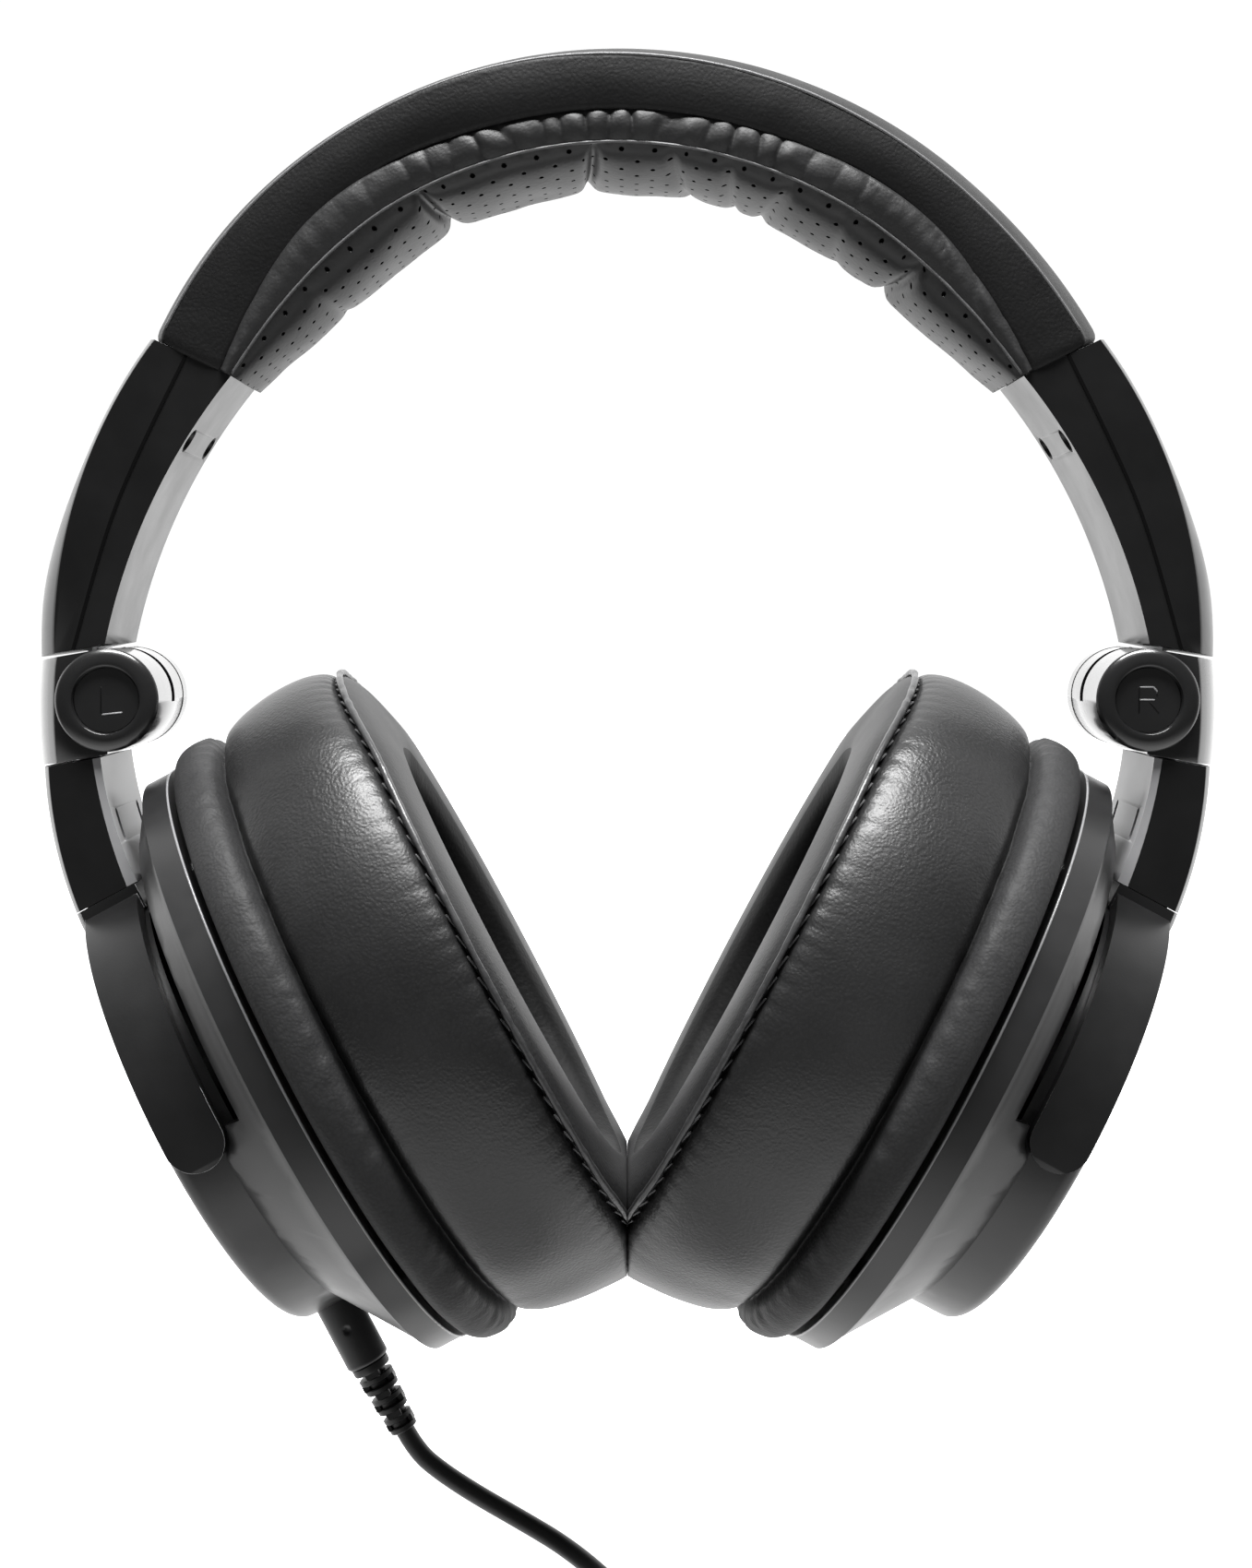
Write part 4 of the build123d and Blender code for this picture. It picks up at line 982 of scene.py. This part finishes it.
def edged(node, width, slot, material, edge=None, lit=ALL_EDGES, reshape=None):
    """A copy of a CAD node with a fine chamfer on its edges, which stands for the node.

    The chamfer has the edge material, a lighter colour that is a painted highlight, where the z of its normal
    is within lit.
    """
    work = bmesh.new()
    work.from_mesh(nodes[node].data)
    bmesh.ops.remove_doubles(work, verts=work.verts, dist=0.002 * MM)
    bmesh.ops.dissolve_limit(work, angle_limit=math.radians(0.2), verts=work.verts, edges=work.edges)
    if reshape:
        for vertex in work.verts:
            reshape(vertex)
    mesh = bpy.data.meshes.new(node)
    work.to_mesh(mesh)
    work.free()
    mesh.shade_smooth()
    for layer in list(mesh.uv_layers):
        mesh.uv_layers.remove(layer)
    mesh.materials.append(material)
    if edge:
        mesh.materials.append(edge)
    obj = chamfered(new_object(node + "_piece", mesh), width, edge_slot=1 if edge else -1)
    for face in obj.data.polygons:
        if not lit[0] < face.normal.z < lit[1]:
            face.material_index = 0
    return place(obj, body_of(node), slot, node)


def flatter_crown(vertex):
    """The arm's crown is low at its top and grows towards the hinge."""
    x, z = vertex.co.x / MM, vertex.co.z / MM
    side = -1 if x < 0 else 1
    centre = Vector((side * 10.5, -69.6))
    away = Vector((x, z)) - centre
    edge_r = 75.5
    if away.length > edge_r:
        share = 0.55 + 0.5 * smoothstep(38.0, 66.0, -z)
        away *= (edge_r + (away.length - edge_r) * share) / away.length
        vertex.co.x = (centre.x + away.x) * MM
        vertex.co.z = (centre.y + away.y) * MM


# a row's fifth item, where given, is the edge material: a lighter colour on the chamfers that is a painted
# highlight
HARD = (
    ("arm_outer_shell", 0.16, "black_plastic", black_plastic, chamfer_highlight, TOP_EDGES, flatter_crown),
    ("arm_inner_shell", 0.16, "black_plastic", black_plastic, chamfer_highlight, TOP_EDGES),
    ("hinge_block", 0.16, "hinge_metal", hinge_metal, chamfer_highlight, TOP_EDGES),
    ("hinge_cap_front", 0.14, "hinge_cap_plastic", cap_plastic, cap_chamfer_highlight),
    ("hinge_cap_back", 0.14, "hinge_cap_plastic", cap_plastic, cap_chamfer_highlight),
    ("stem_cover", 0.16, "black_plastic", black_plastic, chamfer_highlight, TOP_EDGES),
    ("stem_plate", 0.12, "grey_plastic", grey_plastic),
    ("yoke", 0.22, "satin_black", satin_black, satin_chamfer_highlight, SIDE_EDGES),
    ("cup_housing", 0.2, "cup_plastic", cup_plastic),
    ("cup_plate", 0.2, "cup_plastic", cup_plastic),
)
for base, *settings in HARD:
    for side in "lr":
        edged(f"{base}_{side}", *settings)

# nodes that keep the shape they come with
KEPT = {
    "arm_screws": steel_bits, "hinge_pin": steel_bits, "swivel_pin": steel_bits, "pivot_pins": steel_bits,
    "baffle_screws": steel_bits, "baffle": inner_plastic, "driver_frame": inner_plastic,
    "driver_magnet": magnet_steel, "diaphragm": membrane, "detent_spring": spring_steel,
    "slider_band": spring_steel, "headband_spring": spring_steel, "jack_socket": inner_plastic,
    "plug_pin": plug_metal, "source_pin": plug_metal,
}
for name, node in nodes.items():
    base = name.removesuffix("_l").removesuffix("_r")
    if base in KEPT:
        node.data.materials.clear()
        node.data.materials.append(KEPT[base])


def make_rim_line():
    """The thin bead on the housing's rim, beside the pad; its light grey is a painted highlight."""
    along_u, along_v = 48.7, 43.1
    return bead("rim_line", cup_oval(14.0, along_u, along_v, 240), along_u, along_v, lambda p: 0.2)


pair(make_rim_line(), "rim_line", "cup", "cup_plastic", material=rim_highlight)


def make_arm_seam():
    """The dark line where the arm's two shells meet, on its front and its back face."""
    steps = 24
    middle = spline(((-66.2, -26.65), (-76.6, -49.0), (-83.2, -71.0)), steps + 1)
    line = [Vector((x, 0, z)) for x, z in middle]
    strips = []
    for side in (-1, 1):
        rings = []
        for n, p in enumerate(line):
            ahead = (line[min(n + 1, steps)] - line[max(n - 1, 0)]).normalized()
            across = Vector((ahead.z, 0, -ahead.x)) * 0.24
            outline = ((12.6, -1), (12.95, -1), (12.95, 1), (12.6, 1))
            rings.append([p + across * t + Vector((0, side * y, 0)) for y, t in outline])
        strips.append(loft("seam", rings))
    seam = joined("arm_seam", strips)
    seam.data.set_sharp_from_angle(angle=SHARP)
    return seam


pair(make_arm_seam(), "arm_seam", "slider", "black_plastic", material=band_dark)


# ---- hinge details ----

HINGE = Vector((-78.0, 0.0, -78.5))
BARREL_R = 7.7
BARREL_FACE = 13.8


def make_hinge_ring():
    """The turned ring at the barrel's front end, rounded from its face out to the barrel."""
    profile = ((0.0, 7.74), (0.12, 7.68), (0.42, 7.35), (0.66, 6.8), (0.82, 6.2), (0.88, 5.8), (0.88, 5.4),
               (0.78, 5.15), (0.55, 5.0), (-0.3, 4.9))
    centre = HINGE - Vector((0, BARREL_FACE, 0))
    return turned("hinge_ring", centre, (0, -1, 0), profile, sides=96)


def make_barrel_band():
    """A fine turned groove on the open side of the barrel, drawn as a thin band a little proud of it, whose
    dark colour is painted shade.
    """
    half = 0.225
    profile = [(y, BARREL_R + lift) for y, lift in ((-half, -0.1), (-half, 0.05), (half, 0.05), (half, -0.1))]
    return turned("band", HINGE + Vector((0, 9.2, 0)), (0, 1, 0), profile, sides=64)


def letter(name, strokes):
    """Raised strokes on the front cap, each ((x, z), (x, z))."""
    face = -BARREL_FACE + 0.12
    spans = [((x0, face, z0), (x1, face, z1)) for (x0, z0), (x1, z1) in strokes]
    return bars(name, spans, 0.18, sides=8)


def make_letters():
    """A plain L on the left cap and a plain R on the right one; the strokes in the lighter mark material are
    a painted highlight where the raised letters catch the light, the rest are in the cap's plastic.
    """
    marks = (
        ("left_mark", "left", (((-0.8, 1.9), (-0.8, -1.9)),), cap_plastic),
        ("left_mark_foot", "left", (((-0.6, -2.15), (2.3, -1.85)),), mark_highlight),
        ("right_mark", "right", (
            ((-1.4, -1.9), (-1.4, 1.9)), ((1.3, 1.0), (1.3, 0.6)), ((0.2, -0.3), (1.5, -1.9)),
        ), cap_plastic),
        ("right_mark_bars", "right", (
            ((-1.2, 1.95), (0.8, 1.95)), ((0.8, 1.95), (1.3, 1.3)), ((-1.2, 0.05), (0.9, 0.05)),
        ), mark_highlight),
    )
    for name, side, strokes, material in marks:
        x0 = HINGE.x if side == "left" else -HINGE.x
        moved = [tuple((x0 + x, HINGE.z + z) for x, z in stroke) for stroke in strokes]
        place(letter(name, moved), f"fold_block_{side}", "hinge_cap_plastic", material=material)


pair(make_hinge_ring(), "hinge_ring", "fold_block", "hinge_metal", material=hinge_metal)
# the band's dark colour is painted shade in place of a cut groove
pair(make_barrel_band(), "barrel_bands", "fold_block", "hinge_metal", material=band_dark)
make_letters()


# ---- plugs and strain reliefs ----


def make_relief(name, origin, axis, front, length):
    """A tapered relief of ribs on a core; the slots between them are cut by turns from two sides."""
    origin, axis, front = Vector(origin), Vector(axis).normalized(), Vector(front)
    beside = axis.cross(front).normalized()
    ribs, rib = 6, 0.95
    pitch = (length - 1.3) / ribs
    parts = [turned("core", origin, axis, ((0.0, 1.75), (length, 1.6)), sides=32)]
    parts.append(turned("collar", origin, axis, ((0.0, 2.9), (0.15, 3.0), (1.0, 3.0), (1.3, 2.9)), sides=48))
    for n in range(ribs):
        start = 1.3 + (pitch - rib) + pitch * n
        radius = 2.95 - 0.75 * (n + 1) / ribs
        profile = ((start, radius - 0.2), (start + 0.15, radius), (start + rib - 0.15, radius - 0.05),
                   (start + rib, radius - 0.25))
        parts.append(turned("rib", origin, axis, profile, sides=48))
        across = beside if n % 2 else front
        for sign in (-1, 1):
            middle = origin + axis * (start - (pitch - rib) / 2) + across * sign * (radius + 1.4) / 2
            along = axis.cross(across)
            size = (pitch - rib + 0.3, radius - 1.5, 2.3)
            parts.append(block("bridge", middle, (axis, across, along), size))
    relief = joined(name, parts)
    relief.data.set_sharp_from_angle(angle=SHARP)
    return relief


def make_sleeve(name, origin, axis, front, length):
    """A plug's sleeve: softly rounded ends, and a small dimple that marks which way it goes in."""
    origin, axis, front = Vector(origin), Vector(axis).normalized(), Vector(front).normalized()
    beside = axis.cross(front)
    radius = 3.4
    steps = round(length / 0.25)
    ends = ((0.0, 0.55), (0.08, 0.3), (0.25, 0.1), (0.5, 0.0))
    stations = list(ends)
    stations += [(0.5 + (length - 1.0) * n / steps, 0.0) for n in range(1, steps)]
    stations += [(length - along, inset) for along, inset in reversed(ends)]
    sides = 96
    rings = []
    for along, inset in stations:
        ring = []
        for k in range(sides):
            a = 2 * math.pi * k / sides
            off = math.hypot((a if a < math.pi else a - 2 * math.pi) * radius, along - length * 0.55)
            dimple = 0.35 * (1 - smoothstep(0.35, 0.75, off))
            out = front * math.cos(a) + beside * math.sin(a)
            ring.append(origin + axis * along + out * (radius - inset - dimple))
        rings.append(ring)
    sleeve = loft(name, rings)
    sleeve.data.set_sharp_from_angle(angle=math.radians(40))
    return sleeve


JACK_W = -2.4
SOURCE = Vector((-34.0, -63.0, -217.1))
strain_relief = place(
    make_relief("plug_relief", cup(-46.2, 0, JACK_W), -UP, FRONT, 11.8),
    "cable", "cord_rubber", "strain_relief", material=cord_rubber)
plug_sleeve = place(
    make_sleeve("plug_barrel", cup(-32.0, 0, JACK_W), -UP, FRONT, 14.2),
    "cable", "plug_plastic", "plug_sleeve", material=plug_plastic)
source_relief = place(
    make_relief("source_strain_relief", SOURCE, (1, 0, 0), FRONT, 10.5),
    "cable", "cord_rubber", "source_relief", material=cord_rubber)
source_sleeve = place(
    make_sleeve("source_barrel", SOURCE, (-1, 0, 0), (0, 0, 1), 17.0),
    "cable", "plug_plastic", "source_sleeve", material=plug_plastic)
coil_tie = edged("coil_tie", 0.3, "tie_rubber", tie_rubber)


# ---- studio ----


def make_floor():
    """White paper that gives out some light, just under the coil."""
    mesh = bpy.data.meshes.new("floor")
    half, height = 3.0, -0.2206
    corners = ((-half, -half), (half, -half), (half, half), (-half, half))
    mesh.from_pydata([(x, y, height) for x, y in corners], [], [(0, 1, 2, 3)])
    floor = new_object("floor", mesh)
    s = Shader("floor_paper")
    s.set(Roughness=0.9)
    s.bsdf.inputs["Emission Color"].default_value = (1, 1, 1, 1)
    s.bsdf.inputs["Emission Strength"].default_value = 0.75
    fine = s.noise(400, 2.0)
    mesh.materials.append(s.done(s.mix(fine, grey(0.9), grey(0.93))))
    floor.visible_diffuse = False
    floor.visible_glossy = False


def make_world():
    """White all round to the eye; the light itself is strong behind and below, and dim in front."""
    world = bpy.data.worlds.new("studio")
    scene.world = world
    world.use_nodes = True
    tree = world.node_tree
    tree.nodes.clear()
    new = tree.nodes.new
    coords = new("ShaderNodeTexCoord")
    split = new("ShaderNodeSeparateXYZ")
    tree.links.new(coords.outputs["Generated"], split.inputs[0])
    parts = []
    for axis, values in (("Y", (-0.25, 0.45, 0.11, 1.7)), ("Z", (-0.25, -0.85, 0.0, 1.5))):
        part = new("ShaderNodeMapRange")
        part.interpolation_type = "SMOOTHSTEP"
        for key, value in zip(("From Min", "From Max", "To Min", "To Max"), values):
            part.inputs[key].default_value = value
        tree.links.new(split.outputs[axis], part.inputs["Value"])
        parts.append(part)
    total = new("ShaderNodeMath")
    total.operation = "MAXIMUM"
    for part, socket in zip(parts, total.inputs):
        tree.links.new(part.outputs["Result"], socket)
    ray = new("ShaderNodeLightPath")
    mix = new("ShaderNodeMix")
    tree.links.new(ray.outputs["Is Camera Ray"], mix.inputs["Factor"])
    tree.links.new(total.outputs[0], mix.inputs[2])
    mix.inputs[3].default_value = 1.05
    background = new("ShaderNodeBackground")
    background.inputs["Color"].default_value = (1, 1, 1, 1)
    tree.links.new(mix.outputs[0], background.inputs["Strength"])
    output = new("ShaderNodeOutputWorld")
    tree.links.new(background.outputs[0], output.inputs[0])


def softbox(name, place_at, aim, size, power):
    light = bpy.data.lights.new(name, "AREA")
    light.shape = "RECTANGLE"
    light.size, light.size_y = size
    light.energy = power
    lamp = new_object(name, light)
    lamp.location = place_at
    lamp.rotation_euler = (Vector(aim) - Vector(place_at)).to_track_quat("-Z", "Y").to_euler()
    lamp.visible_camera = False
    return lamp


make_floor()
make_world()
softbox("overhead", (0.0, -0.25, 0.70), (0.0, 0.0, -0.10), (0.6, 0.26), 23.0)
